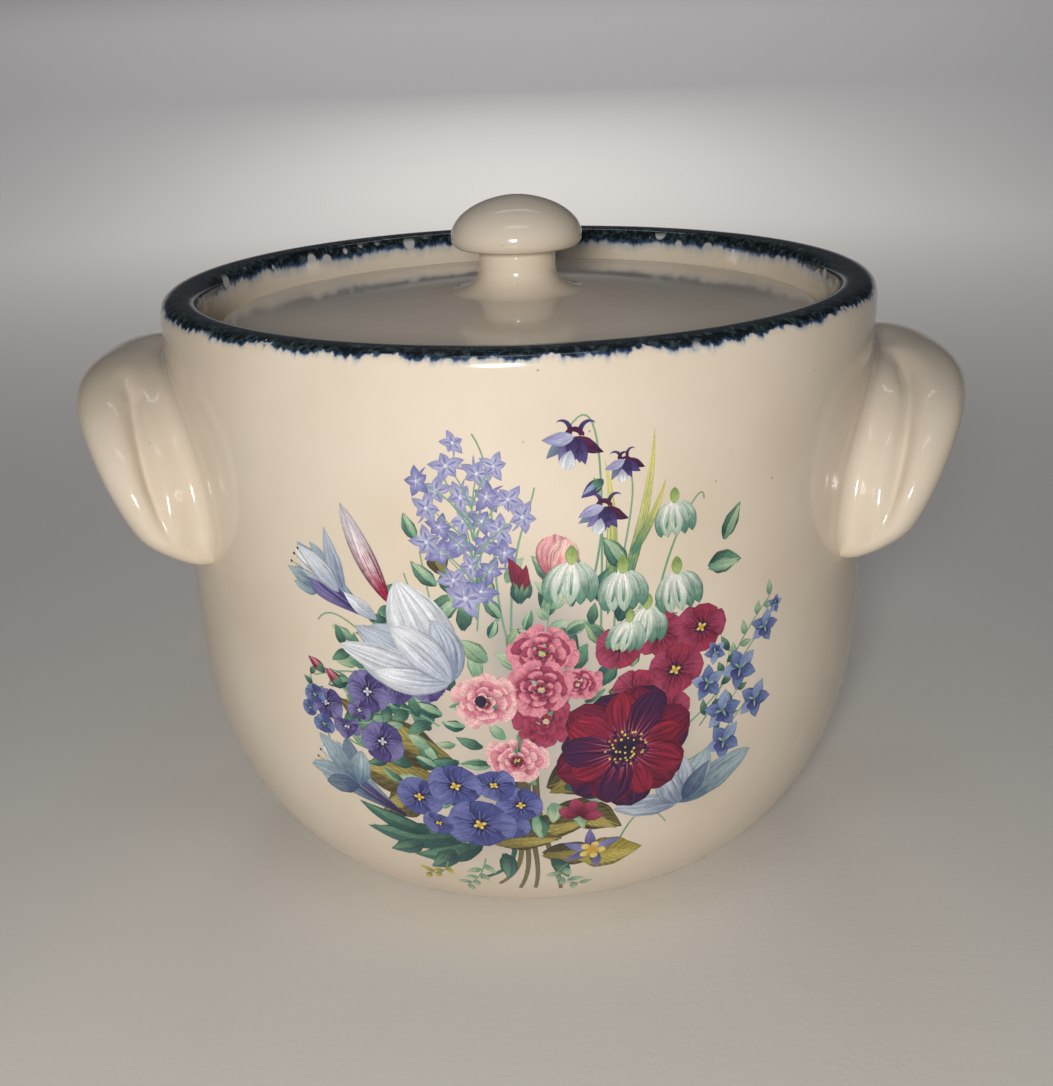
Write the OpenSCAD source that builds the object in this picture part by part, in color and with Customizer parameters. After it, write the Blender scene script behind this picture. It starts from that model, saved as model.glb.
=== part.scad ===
// Butter crock: a thrown stoneware pot with two pulled ear handles, a sunk
// lid that rests on an inner ledge, a mushroom knob and a flower transfer.
// Millimetres. Origin: centre of the foot, on the table. +Z up, +X through
// the right handle, the flower transfer faces -Y.

/* [Crock] */
// Diameter over the rim
rim_d = 140; // [110:1:190]
// Height from the table to the top of the rim
crock_h = 114.3; // [90:0.1:160]
// Diameter of the nearly straight wall above the curved belly
belly_d = 139; // [110:1:190]
// Height at which the curved lower wall becomes straight
belly_h = 48; // [30:1:60]
// Diameter of the pot where it meets the table
foot_d = 96; // [70:1:110]
// Thickness of the wall
wall_t = 7; // [5:0.5:9]
// Thickness of the rounded rim
rim_t = 7.5; // [6:0.5:8]
// Thickness of the floor
floor_t = 8; // [6:0.5:12]
// Diameter of the flat floor inside
inner_floor_d = 80; // [50:1:84]

/* [Foot ring] */
// Width of the ring that stands on the table
foot_ring_w = 7; // [4:0.5:12]
// Depth of the hollow inside the ring
foot_recess = 1.5; // [0.5:0.1:3]
// Bevel at the outer edge of the ring
foot_bevel = 1.2; // [0.4:0.1:2]

/* [Lid] */
// How far the mouth narrows from the inside of the rim down to the lid's seat
mouth_taper = 1.6; // [0.5:0.1:4]
// Depth of the lid's edge below the top of the rim
lid_drop = 6.6; // [3:0.1:12]
// Thickness of the lid at its edge
lid_t = 6; // [4:0.5:9]
// Rise of the lid from its edge to the knob
lid_rise = 3.5; // [0.5:0.1:6]
// Round on the lid's upper edge
lid_round = 2; // [0.5:0.1:2.5]
// Depth of the hollow under the lid
lid_hollow = 2; // [0.5:0.1:3]
// Gap all round between the lid and the pot
lid_gap = 0.9; // [0.5:0.1:2]
// Width of the ledge that carries the lid
ledge_w = 5.5; // [3:0.5:7]
// Thickness of the ledge at its inner edge
ledge_t = 3; // [2:0.5:5]

/* [Knob] */
// Diameter of the knob's cap
knob_d = 26; // [20:0.5:34]
// Height of the knob above the lid
knob_h = 18.4; // [14:0.1:26]
// Height of the domed part of the cap
knob_dome_h = 6.8; // [5:0.1:10]
// Height of the cap below its widest ring
knob_under_h = 3.2; // [2:0.1:5]
// Diameter of the stem
stem_d = 15.2; // [11:0.1:18]
// Radius of the flare where the stem meets the lid
stem_flare = 3; // [1:0.1:4]

/* [Handles] */
// How far each handle stands out from the wall
handle_reach = 17.5; // [12:0.1:24]
// Height of each handle, from its top face to its feet
handle_h = 34.4; // [26:0.1:46]
// Width of each handle across its two legs, front to back
handle_w = 80; // [60:1:100]
// Squareness of the arch: 2 is an ellipse, higher is boxier
arch_power = 2.8; // [2:0.1:4]
// Drop of the left handle's top below the rim
left_drop = 11.8; // [8:0.1:20]
// Drop of the right handle's top below the rim
right_drop = 14.6; // [8:0.1:20]
// Thickness of the pulled strap
strap_t = 8.6; // [6:0.2:11]
// Share of its reach that the strap has lost at its feet
foot_taper = 0.64; // [0.3:0.05:0.8]
// Depth of the finger groove along each leg
groove_d = 2; // [0.5:0.1:3]
// Width of the finger groove, as a share of the strap's width
groove_w = 0.15; // [0.08:0.01:0.25]
// How far the strap's outer edge droops at the top
strap_droop = 1.2; // [0:0.2:5]
// Depth of the scored joint between the handles and the wall
joint_sink = 1.8; // [1:0.1:3]

/* [Transfer] */
// Bare wall between the transfer and the rim
transfer_top_gap = 8.8; // [6:0.1:30]
// Bare wall between the transfer and the table
transfer_foot_gap = 6.5; // [3:0.1:30]
// Thickness of the fired colours
transfer_t = 0.15; // [0.1:0.05:0.3]

/* [Hidden] */

glaze = "#e4d7c4";
shaded_glaze = "#d8cab5";
ink = "#7c6f9c";
$fn = 96;

rim_r = rim_d / 2;
belly_r = belly_d / 2;
foot_r = foot_d / 2;
rim_round = rim_t / 2;
seat_z = crock_h - lid_drop - lid_t;
seat_r = rim_r - rim_t - mouth_taper;
lid_r = seat_r - lid_gap;
ledge_r = seat_r - ledge_w;
ledge_slope = 10;
slope_z = seat_z - ledge_t - ledge_slope;
inner_belly_r = belly_r - wall_t;
foot_ring_r = foot_r - foot_bevel - foot_ring_w;

// The belly is part of an ellipse that reaches a little below the table.
arc_overshoot = 0.042;
arc_h = belly_h * (1 + arc_overshoot);
arc_steps = 16;
function arc_share(z) = sqrt(1 - pow((belly_h - z) / arc_h, 2));
function belly_arc(z) = belly_r - (belly_r - foot_r) * (1 - arc_share(z)) / (1 - arc_share(0));
function upper_wall(z) = belly_r + (rim_r - belly_r) * (z - belly_h) / (crock_h - rim_round - belly_h);
// Outer radius of the pot at a height
function outer_r(z) = z < belly_h ? belly_arc(max(z, 0)) : upper_wall(z);
function arc_z(i) = belly_h * (1 - cos(90 * i / arc_steps));
// The curve starts at the foot's bevel, and its next point stands clear of that
first_step = 1.5 * foot_bevel;
arc_points = [for (i = [0:arc_steps]) let (z = max(arc_z(i), foot_bevel))
    if (i == 0 || arc_z(i) > first_step) [outer_r(z), z]];

// Each handle is a strap bent into an arch that opens downwards, with its inner
// edge joined to the wall. q runs from 0 at the top of the arch to 1 at a foot,
// and v runs from 0 at the wall to 1 at the strap's outer edge.
mid_half_w = handle_w / 2 - strap_t / 2;
mid_h = handle_h - strap_t / 2;
function polar(q) = pow(pow(sin(90 * q) / mid_half_w, arch_power) + pow(cos(90 * q) / mid_h, arch_power),
    -1 / arch_power);
function mid_y(q) = polar(q) * sin(90 * q);
function mid_z(q) = polar(q) * cos(90 * q);
// Lean of the strap's face from level, in degrees
function lean(q) = atan2(pow(mid_y(q), arch_power - 1) / pow(mid_half_w, arch_power),
    pow(mid_z(q), arch_power - 1) / pow(mid_h, arch_power));
taper_power = 5;
taper_thin = 0.3;   // share of the taper that also thins the strap
end_from = 0.86;    // where the rounded foot begins
end_thin = 0.25;    // thickness left at the very end, as a share
function taper(q) = foot_taper * pow(q, taper_power);
function round_end(q) = q < end_from ? 1 : sqrt(max(0, 1 - pow((q - end_from) / (1 - end_from), 2)));
function strap_reach(q) = handle_reach * (1 - taper(q)) * round_end(q);
function strap_half_t(q) = strap_t / 2 * (1 - taper_thin * taper(q))
    * (end_thin + (1 - end_thin) * round_end(q));
droop_half = 0.5;   // the outer edge droops over this middle share of the arch
droop_power = 4;
function droop(q, v) = strap_droop * max(0, 1 - pow(q / droop_half, 2)) * pow(v, droop_power);
function ease(x) = let (c = max(0, min(1, x))) c * c * (3 - 2 * c);
groove_from = 0.35; // the groove deepens from here
groove_in = 0.15;
groove_to = 0.96;   // and fades out before here
groove_out = 0.25;
groove_mid = 0.48;  // its place across the strap, which drifts outwards
groove_bend = 0.45;
groove_drift = 0.5;
function groove_share(q) = ease((q - groove_from) / groove_in) * ease((groove_to - q) / groove_out);
function groove_v(q) = groove_mid + groove_drift * max(0, q - groove_bend);
function groove(q, v) = groove_d * groove_share(q) * exp(-pow((v - groove_v(q)) / groove_w, 2));
// Height of the strap's two faces over its middle, at a share v of its width
edge_power = 6;     // higher is a squarer outer edge
function face_h(q, v) = strap_half_t(q) * sqrt(1 - pow(v, edge_power));

strap_steps = 18;
across_steps = 9;
ring_n = 2 * across_steps;
function across(j) = sin(90 * j / across_steps);
// A point of the strap: i counts along the arch, v across it, h is over the
// middle face. The strap stands square to the round wall all along.
function strap_point(i, v, h, top_z) = let (
    q = abs(i) / strap_steps, turn = lean(q), up = h - droop(q, v),
    y = sign(i) * (mid_y(q) + up * sin(turn)), z = top_z - handle_h + mid_z(q) + up * cos(turn),
    wall_r = outer_r(z), around = asin(y / wall_r),
    r = wall_r - joint_sink + (strap_reach(q) + joint_sink) * v
) [r * cos(around), r * sin(around), z];
function strap_ring(i, top_z) = let (q = abs(i) / strap_steps) concat(
    [for (j = [0:across_steps]) let (v = across(j)) strap_point(i, v, face_h(q, v) - groove(q, v), top_z)],
    [for (j = [across_steps - 1:-1:1]) let (v = across(j)) strap_point(i, v, -face_h(q, v), top_z)],
    [strap_point(i, 0, -face_h(q, 0), top_z)]);
rings_n = 2 * strap_steps + 1;
ring_size = ring_n + 1;
function skin_faces() = [for (i = [0:rings_n - 2], j = [0:ring_size - 1], k = [0:1])
    let (a = i * ring_size + j, b = i * ring_size + (j + 1) % ring_size, c = b + ring_size,
        d = a + ring_size) k == 0 ? [a, c, b] : [a, d, c]];
function cap_faces(i, way) = [for (j = [1:ring_size - 2])
    let (a = i * ring_size, b = a + j, c = b + 1) way > 0 ? [a, b, c] : [a, c, b]];

module crock_body() {
    color(glaze) difference() {
        rotate_extrude() union() {
            polygon(concat(
                [[0, foot_recess], [foot_ring_r, foot_recess], [foot_ring_r, 0], [foot_r - foot_bevel, 0]],
                arc_points, [[rim_r, crock_h - rim_round], [0, crock_h - rim_round]]));
            translate([rim_r - rim_round, crock_h - rim_round]) circle(rim_round);
        }
        rotate_extrude() inner_space();
    }
}

// The space inside the pot: bowl, ledge, seat and mouth
module inner_space() {
    floor_r = inner_floor_d / 2;
    bowl_h = belly_h - floor_t;
    bowl_w = inner_belly_r - floor_r;
    polygon(concat([[0, floor_t]],
        [for (i = [arc_steps:-1:0]) let (a = 90 * i / arc_steps)
            [floor_r + bowl_w * cos(a), belly_h - bowl_h * sin(a)]],
        [[outer_r(slope_z) - wall_t, slope_z], [ledge_r, seat_z - ledge_t], [ledge_r, seat_z],
            [seat_r, seat_z], [rim_r - rim_t, crock_h - rim_round],
            [rim_r - rim_round, crock_h - rim_round], [rim_r - rim_round, crock_h + 1],
            [0, crock_h + 1]]));
}

module handle(drop) {
    top_z = crock_h - drop;
    points = [for (i = [-strap_steps:strap_steps]) each strap_ring(i, top_z)];
    faces = concat(skin_faces(), cap_faces(0, 1), cap_faces(rings_n - 1, -1));
    color(shaded_glaze) polyhedron(points, faces, 4);
}
module left_handle() { mirror([1, 0, 0]) handle(left_drop); }
module right_handle() { handle(right_drop); }

module lid() {
    edge_z = seat_z + lid_t;
    flat_r = stem_d / 2 + stem_flare;
    under_r = ledge_r - 2 * lid_gap;
    hollow_r = under_r - 2 * lid_hollow;
    color(glaze) rotate_extrude() difference() {
        union() {
            polygon([[0, seat_z], [lid_r - lid_round / 2, seat_z], [lid_r, seat_z + lid_round / 2],
                [lid_r, edge_z - lid_round], [lid_r - lid_round, edge_z], [flat_r, edge_z + lid_rise],
                [0, edge_z + lid_rise]]);
            intersection() {
                translate([lid_r - lid_round, edge_z - lid_round]) circle(lid_round);
                translate([0, seat_z]) square([lid_r, lid_t]);
            }
        }
        translate([0, seat_z - 1]) polygon([[0, 0], [under_r, 0], [under_r, 1],
            [hollow_r, 1 + lid_hollow], [0, 1 + lid_hollow]]);
    }
}

module lid_knob() {
    base_z = seat_z + lid_t + lid_rise;
    wide_z = knob_h - knob_dome_h;
    stem_r = stem_d / 2;
    cap_r = knob_d / 2;
    flare_lip = 0.4;
    flare_r = stem_r + stem_flare;
    flare_z = stem_flare + flare_lip;
    color(glaze) translate([0, 0, base_z]) rotate_extrude() difference() {
        polygon(concat([[0, 0], [flare_r, 0], [flare_r, flare_lip], [stem_r, flare_z]],
            [[stem_r, wide_z - knob_under_h]],
            [for (a = [-75:15:0]) [cap_r - knob_under_h * (1 - cos(a)), wide_z + knob_under_h * sin(a)]],
            [for (a = [7.5:7.5:90]) [cap_r * cos(a), wide_z + knob_dome_h * sin(a)]]));
        translate([flare_r, flare_z]) circle(stem_flare);
    }
}

module flower_transfer() {
    transfer_d = crock_h - transfer_top_gap - transfer_foot_gap;
    transfer_z = transfer_foot_gap + transfer_d / 2;
    color(ink) intersection() {
        rotate_extrude() polygon(concat(arc_points,
            [[rim_r, crock_h - rim_round], [rim_r + transfer_t, crock_h - rim_round]],
            [for (i = [len(arc_points) - 1:-1:0]) arc_points[i] + [transfer_t, 0]]));
        translate([0, 0, transfer_z]) rotate([90, 0, 0]) cylinder(h = rim_d, d = transfer_d);
    }
}

crock_body();
left_handle();
right_handle();
lid();
lid_knob();
flower_transfer();
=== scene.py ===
"""Looks of a glazed stoneware butter crock with ear handles, a sunk lid and a flower transfer.

Sizes in the classes are millimetres; every mesh is made in metres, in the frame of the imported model.
"""

import logging
import math
import random
from dataclasses import dataclass, field
from enum import Enum

import bpy
import numpy as np
from mathutils import Matrix, Vector
from mathutils.geometry import delaunay_2d_cdt


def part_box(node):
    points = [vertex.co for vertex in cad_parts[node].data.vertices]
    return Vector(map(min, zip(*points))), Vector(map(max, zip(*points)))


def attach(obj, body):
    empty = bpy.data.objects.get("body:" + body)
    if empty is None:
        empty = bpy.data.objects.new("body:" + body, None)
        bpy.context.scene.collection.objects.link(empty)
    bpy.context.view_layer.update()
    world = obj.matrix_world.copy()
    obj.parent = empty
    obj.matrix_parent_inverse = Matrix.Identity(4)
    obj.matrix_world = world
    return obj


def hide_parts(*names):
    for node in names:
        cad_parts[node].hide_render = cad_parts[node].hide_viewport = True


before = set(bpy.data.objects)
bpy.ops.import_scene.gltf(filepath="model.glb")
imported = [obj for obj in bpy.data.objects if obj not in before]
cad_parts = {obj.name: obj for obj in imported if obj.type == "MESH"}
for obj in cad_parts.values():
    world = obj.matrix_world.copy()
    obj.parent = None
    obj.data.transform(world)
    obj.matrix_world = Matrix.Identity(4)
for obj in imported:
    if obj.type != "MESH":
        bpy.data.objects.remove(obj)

log = logging.getLogger("butter_crock")
MM = 0.001
ON_AXIS_MM = 1e-6
# The golden angle in radians, which spreads things evenly round a middle.
GOLDEN = 2.39996
Spot = tuple[float, float]
Profile = list[Spot]
Array = np.ndarray
Socket = bpy.types.NodeSocket
Tree = bpy.types.NodeTree
Material = bpy.types.Material
Piece = bpy.types.Object


def linear(colour: str) -> tuple[float, float, float, float]:
    """Turns an sRGB hex colour into the linear colour that the shaders work in.

    Args:
        colour: The colour as "#rrggbb".

    Returns:
        Linear red, green and blue, and a full alpha.
    """
    parts = [int(colour[i : i + 2], 16) / 255 for i in (1, 3, 5)]
    return tuple(c / 12.92 if c <= 0.04045 else ((c + 0.055) / 1.055) ** 2.4 for c in parts) + (1.0,)


def put(tree: Tree, kind: str, inputs: dict | None = None, out: int | str = 0, **settings: object) -> Socket:
    """Adds one node with its settings, values and links.

    Args:
        tree: The material's node tree.
        kind: The node's Blender type, without its "ShaderNode" prefix.
        inputs: Socket name or number, and the value or the output socket it takes.
        out: The output socket to hand back.
        **settings: The node's own properties.

    Returns:
        The chosen output socket.
    """
    node = tree.nodes.new("ShaderNode" + kind)
    for name, value in settings.items():
        setattr(node, name, value)
    for key, value in (inputs or {}).items():
        if isinstance(value, Socket):
            tree.links.new(value, node.inputs[key])
        else:
            node.inputs[key].default_value = value
    return node.outputs[out] if len(node.outputs) else None


def ease(x: Array | float) -> Array:
    """Runs smoothly from 0 to 1 as x does."""
    c = np.clip(x, 0, 1)
    return c * c * (3 - 2 * c)


def mesh_piece(name: str, points: Array, faces: list, material: Material) -> Piece:
    """Makes one smooth-shaded mesh object and dresses it.

    Args:
        name: The piece's name.
        points: Its points, in millimetres.
        faces: Its faces, as lists of point numbers.
        material: Its finish.

    Returns:
        The object, linked to the scene.
    """
    mesh = bpy.data.meshes.new(name)
    mesh.from_pydata((np.asarray(points) * MM).tolist(), [], faces)
    mesh.validate()
    mesh.shade_smooth()
    mesh.materials.append(material)
    piece = bpy.data.objects.new(name, mesh)
    bpy.context.scene.collection.objects.link(piece)
    return piece


def turned(profile: Profile, around: int, swell: "WallShape | None" = None) -> tuple[Array, list]:
    """Turns a profile about the pot's axis, as on a wheel.

    Args:
        profile: Radius and height of each point, from the underside outwards and round to the axis again.
        around: How many steps one turn has.
        swell: The wall whose slight unevenness the profile takes on, if it is the wall.

    Returns:
        The points in millimetres, and the faces.
    """
    angles = np.arange(around) * 2 * math.pi / around
    ring = np.array(profile)
    hubs = {i for i in (0, len(ring) - 1) if ring[i][0] < ON_AXIS_MM}
    points, starts, faces = [], [], []
    for i, (radius, height) in enumerate(ring):
        starts.append(len(points))
        if i in hubs:
            points.append((0, 0, height))
            continue
        grow = swell.unevenness(angles, height) * min(1.0, radius / 30) if swell else 0
        reach = radius + grow
        points.extend(
            np.column_stack([reach * np.cos(angles), reach * np.sin(angles), np.full(around, height)])
        )
    for i in range(len(ring) - 1):
        a, b = starts[i], starts[i + 1]
        for k in range(around):
            n = (k + 1) % around
            if i in hubs:
                faces.append((a, b + n, b + k))
            elif i + 1 in hubs:
                faces.append((a + k, a + n, b))
            else:
                faces.append((a + k, a + n, b + n, b + k))
    return np.array(points), faces


def softened(corners: list[tuple[float, float, float]], steps: int = 6) -> Profile:
    """Rounds the corners of a profile, as glaze and a wet sponge do.

    Args:
        corners: Radius, height and rounding of each corner, in millimetres.
        steps: Points on each rounded corner.

    Returns:
        The rounded profile.
    """
    made: Profile = []
    for i, (r, z, rounding) in enumerate(corners):
        here = np.array([r, z])
        if rounding <= 0 or i in (0, len(corners) - 1):
            made.append((r, z))
            continue
        before, after = np.array(corners[i - 1][:2]) - here, np.array(corners[i + 1][:2]) - here
        cut = min(rounding, 0.45 * np.linalg.norm(before), 0.45 * np.linalg.norm(after))
        start, end = here + before / np.linalg.norm(before) * cut, here + after / np.linalg.norm(after) * cut
        for t in np.linspace(0, 1, steps):
            made.append(tuple((1 - t) ** 2 * start + 2 * t * (1 - t) * here + t * t * end))
    return made


# ---------------------------------------------------------------- finishes


@dataclass(frozen=True)
class CreamGlaze:
    """Clear glaze over cream slip: a wet shine, small iron specks and faint throwing lines."""

    cream: str = "#dfd2bf"
    warm: str = "#dbccb7"
    pale: str = "#e2d6c5"
    speck: str = "#7b6a54"
    roughness: float = 0.1
    ior: float = 1.5
    cloud_mm: float = 26.0
    speck_mm: float = 2.6
    dimple_mm: float = 5.0
    throwing_mm: float = 3.4
    depth_mm: float = 0.035

    def place_mm(self, tree: Tree) -> Socket:
        """Gives the place on the pot in millimetres."""
        place = put(tree, "TexCoord", out="Object")
        return put(tree, "VectorMath", {0: place, "Scale": 1 / MM}, operation="SCALE")

    def colour(self, tree: Tree, place: Socket) -> Socket:
        """Gives the glaze's colour: soft clouds of warmer and paler cream, and sparse specks of iron.

        Args:
            tree: The material's node tree.
            place: The place on the pot, in millimetres.

        Returns:
            The colour socket.
        """
        cloud = put(tree, "TexNoise", {"Vector": place, "Scale": 1 / self.cloud_mm, "Detail": 3.0})
        tone = put(tree, "ValToRGB", {0: cloud})
        ramp = tone.node.color_ramp
        ramp.elements[0].position, ramp.elements[0].color = 0.3, linear(self.warm)
        ramp.elements[1].position, ramp.elements[1].color = 0.7, linear(self.pale)
        ramp.elements.new(0.5).color = linear(self.cream)
        cells = put(tree, "TexVoronoi", {"Vector": place, "Scale": 1 / self.speck_mm})
        chance = put(tree, "SeparateColor", {0: cells.node.outputs["Color"]})
        size = put(tree, "MapRange", {0: chance, 1: 0.86, 2: 1.0, 3: 0.0, 4: 0.085})
        dot = put(tree, "Math", {0: cells, 1: size}, operation="LESS_THAN")
        strength = put(tree, "Math", {0: dot, 1: 0.55}, operation="MULTIPLY")
        return put(tree, "MixRGB", {0: strength, 1: tone, 2: linear(self.speck)})

    def relief(self, tree: Tree, place: Socket) -> Socket:
        """Gives the surface's fine relief: shallow dimples in the glaze over level throwing lines."""
        dimples = put(tree, "TexNoise", {"Vector": place, "Scale": 1 / self.dimple_mm, "Detail": 2.0})
        flat = put(
            tree, "VectorMath", {0: place, 1: (0.02, 0.02, 1 / self.throwing_mm)}, operation="MULTIPLY"
        )
        lines = put(tree, "TexNoise", {"Vector": flat, "Scale": 1.0, "Detail": 2.0})
        height = put(tree, "Math", {0: lines, 1: 0.5, 2: dimples}, operation="MULTIPLY_ADD")
        return put(
            tree, "Bump", {"Height": height, "Distance": self.depth_mm * MM, "Strength": 1.0}, out="Normal"
        )

    def finish(self, tree: Tree, colour: Socket, normal: Socket, roughness: Socket | float) -> None:
        """Joins the glaze's shader to the output.

        Args:
            tree: The material's node tree.
            colour: The colour under the shine.
            normal: The fine relief.
            roughness: How far the shine is spread.
        """
        glaze = put(
            tree, "BsdfPrincipled",
            {"Base Color": colour, "Normal": normal, "Roughness": roughness, "IOR": self.ior}
        )
        put(tree, "OutputMaterial", {"Surface": glaze})

    def shine(self, tree: Tree, place: Socket) -> Socket:
        """Gives the roughness, which wanders a little where the glaze pooled."""
        patch = put(tree, "TexNoise", {"Vector": place, "Scale": 1 / 14, "Detail": 3.0})
        return put(tree, "MapRange", {0: patch, 3: self.roughness * 0.7, 4: self.roughness * 1.5})

    def material(self, name: str) -> Material:
        """Makes the plain glaze as a material of that name."""
        made, tree = new_material(name)
        place = self.place_mm(tree)
        self.finish(tree, self.colour(tree, place), self.relief(tree, place), self.shine(tree, place))
        return made


@dataclass(frozen=True)
class RimBand:
    """Cobalt and iron brushed on the rim: nearly black on the lip, blue and feathered at its edge."""

    black: str = "#161d20"
    teal: str = "#4b5d61"
    cobalt: str = "#35507c"
    halo: str = "#8fa5b8"
    depth_mm: float = 1.4
    inside_mm: float = 2.0
    ragged_mm: float = 0.55
    stroke_mm: float = 1.25
    blob_mm: float = 5.0

    def over(
        self, tree: Tree, place: Socket, cream: Socket, top: float, rim_r: float, rim_t: float
    ) -> Socket:
        """Lays the band over the cream glaze.

        Args:
            tree: The material's node tree.
            place: The place on the pot, in millimetres.
            cream: The glaze's own colour.
            top: Height of the rim's top.
            rim_r: Outer radius of the rim.
            rim_t: Thickness of the rim.

        Returns:
            The colour of the rim and of the cream around it.
        """
        xyz = put(tree, "SeparateXYZ", {0: place}).node.outputs
        depth = put(tree, "Math", {0: xyz[2], 1: -1.0, 2: top}, operation="MULTIPLY_ADD")
        level = put(tree, "VectorMath", {0: place, 1: (1, 1, 0)}, operation="MULTIPLY")
        radius = put(tree, "VectorMath", {0: level}, out="Value", operation="LENGTH")
        stretched = put(
            tree, "VectorMath", {0: place, 1: (1 / self.stroke_mm, 1 / self.stroke_mm, 0.28)},
            operation="MULTIPLY"
        )
        strokes = put(tree, "TexNoise", {"Vector": stretched, "Scale": 1.0, "Detail": 2.0, "Roughness": 0.5})
        slow = put(tree, "TexNoise", {"Vector": level, "Scale": 1 / 7.5, "Detail": 2.0})
        inner = put(
            tree, "MapRange",
            {0: radius, 1: rim_r - 0.25 * rim_t, 2: rim_r - rim_t, 3: 0.0, 4: self.inside_mm}
        )
        ragged = put(tree, "MapRange", {0: strokes, 1: 0.25, 2: 0.75, 3: -self.ragged_mm, 4: self.ragged_mm})
        waver = put(tree, "MapRange", {0: slow, 1: 0.3, 2: 0.7, 3: -0.7, 4: 0.6})
        limit = inner
        for part in (self.depth_mm, ragged, waver):
            limit = put(tree, "Math", {0: limit, 1: part}, operation="ADD")
        share = put(tree, "Math", {0: depth, 1: limit}, operation="DIVIDE")
        turn = put(tree, "Math", {0: xyz[1], 1: xyz[0]}, operation="ARCTAN2")
        along = put(tree, "Math", {0: turn, 1: rim_r}, operation="MULTIPLY")
        unrolled = put(tree, "CombineXYZ", {0: along, 1: depth})
        cells = put(
            tree, "TexVoronoi", {"Vector": unrolled, "Scale": 1 / self.blob_mm}, voronoi_dimensions="2D"
        )
        chance = put(tree, "SeparateColor", {0: cells.node.outputs["Color"]})
        size = put(tree, "MapRange", {0: chance, 1: 0.55, 2: 1.0, 3: 0.0, 4: 0.36})
        bite = put(tree, "Math", {0: cells, 1: size}, operation="SUBTRACT")
        kept = put(tree, "MapRange", {0: bite, 1: -0.03, 2: 0.05, 3: 0.0, 4: 1.0})
        body = put(
            tree, "MapRange", {0: share, 1: 1.12, 2: 0.8, 3: 0.0, 4: 1.0}, interpolation_type="SMOOTHSTEP"
        )
        mist = put(
            tree, "MapRange", {0: share, 1: 1.6, 2: 0.9, 3: 0.0, 4: 0.55}, interpolation_type="SMOOTHSTEP"
        )
        tinted = put(tree, "MixRGB", {0: mist, 1: cream, 2: linear(self.halo)})
        low = put(tree, "MapRange", {0: depth, 1: 0.6, 2: 1.6, 3: 0.0, 4: 1.0})
        holed = put(tree, "MixRGB", {0: low, 1: (1, 1, 1, 1), 2: kept})
        cover = put(tree, "Math", {0: body, 1: holed}, operation="MULTIPLY")
        mottle = put(tree, "TexNoise", {"Vector": place, "Scale": 1 / 1.5, "Detail": 5.0, "Roughness": 0.7})
        worn = put(tree, "MapRange", {0: mottle, 1: 0.48, 2: 0.68})
        dark = put(tree, "MixRGB", {0: worn, 1: linear(self.black), 2: linear(self.teal)})
        fringe = put(tree, "Math", {0: mottle, 1: 0.5, 2: share}, operation="MULTIPLY_ADD")
        blue = put(tree, "MapRange", {0: fringe, 1: 0.82, 2: 1.3}, interpolation_type="SMOOTHSTEP")
        band = put(tree, "MixRGB", {0: blue, 1: dark, 2: linear(self.cobalt)})
        return put(tree, "MixRGB", {0: cover, 1: tinted, 2: band})


def new_material(name: str) -> tuple[Material, Tree]:
    """Makes an empty node material and hands back it and its tree."""
    made = bpy.data.materials.new(name)
    made.use_nodes = True
    made.node_tree.nodes.clear()
    return made, made.node_tree


# ---------------------------------------------------------------- the pot


@dataclass
class WallShape:
    """The pot's outer wall, which the handles and the transfer follow."""

    rim_r: float = 70.0
    crock_h: float = 114.3
    belly_r: float = 69.5
    belly_h: float = 48.0
    foot_r: float = 48.0
    rim_t: float = 7.5
    arc_reach: float = 1.042
    uneven_mm: float = 0.12

    def share(self, z: Array | float) -> Array:
        """Gives how far the belly's curve has come out at a height, from its ellipse."""
        return np.sqrt(1 - ((self.belly_h - z) / (self.belly_h * self.arc_reach)) ** 2)

    def outer_r(self, z: Array | float) -> Array:
        """Gives the wall's outer radius at a height, in millimetres."""
        low = np.clip(z, 0, self.belly_h)
        belly = self.belly_r - (self.belly_r - self.foot_r) * (1 - self.share(low)) / (1 - self.share(0.0))
        straight_h = self.crock_h - self.rim_t / 2 - self.belly_h
        return np.where(
            np.asarray(z) < self.belly_h, belly,
            self.belly_r + (self.rim_r - self.belly_r) * (z - self.belly_h) / straight_h
        )

    def unevenness(self, angle: Array | float, z: Array | float) -> Array:
        """Gives how far a hand-thrown wall stands off its true circle there, in millimetres."""
        wave = np.sin(2 * angle + 0.4) * 0.5 + np.sin(3 * angle + z / 21) * 0.3 + np.sin(
            5 * angle - z / 13 + 1.7
        ) * 0.12
        rings = 0.22 * np.sin(z / 1.9 + 0.6 * np.sin(angle)) * np.exp(-(((z - 88) / 22) ** 2))
        return -self.uneven_mm * (1 + wave) * 0.6 + self.uneven_mm * rings

    def point(self, angle: Array, z: Array, off: float = 0.0) -> Array:
        """Gives points of the wall, in millimetres.

        Args:
            angle: Angles from +X, in radians.
            z: Heights.
            off: How far over the wall the points lie.

        Returns:
            One row for each point.
        """
        r = self.outer_r(z) + self.unevenness(angle, z)
        slope = (self.outer_r(z + 0.01) - self.outer_r(z - 0.01)) / 0.02
        flat = 1 / np.sqrt(1 + slope**2)
        r, z = r + off * flat, z - off * slope * flat
        return np.column_stack([r * np.cos(angle), r * np.sin(angle), z])

    def normal(self, angle: Array, z: Array) -> Array:
        """Gives the wall's outward directions at those places."""
        slope = (self.outer_r(z + 0.05) - self.outer_r(z - 0.05)) / 0.1
        flat = 1 / np.sqrt(1 + slope**2)
        return np.column_stack([flat * np.cos(angle), flat * np.sin(angle), -slope * flat])


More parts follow.
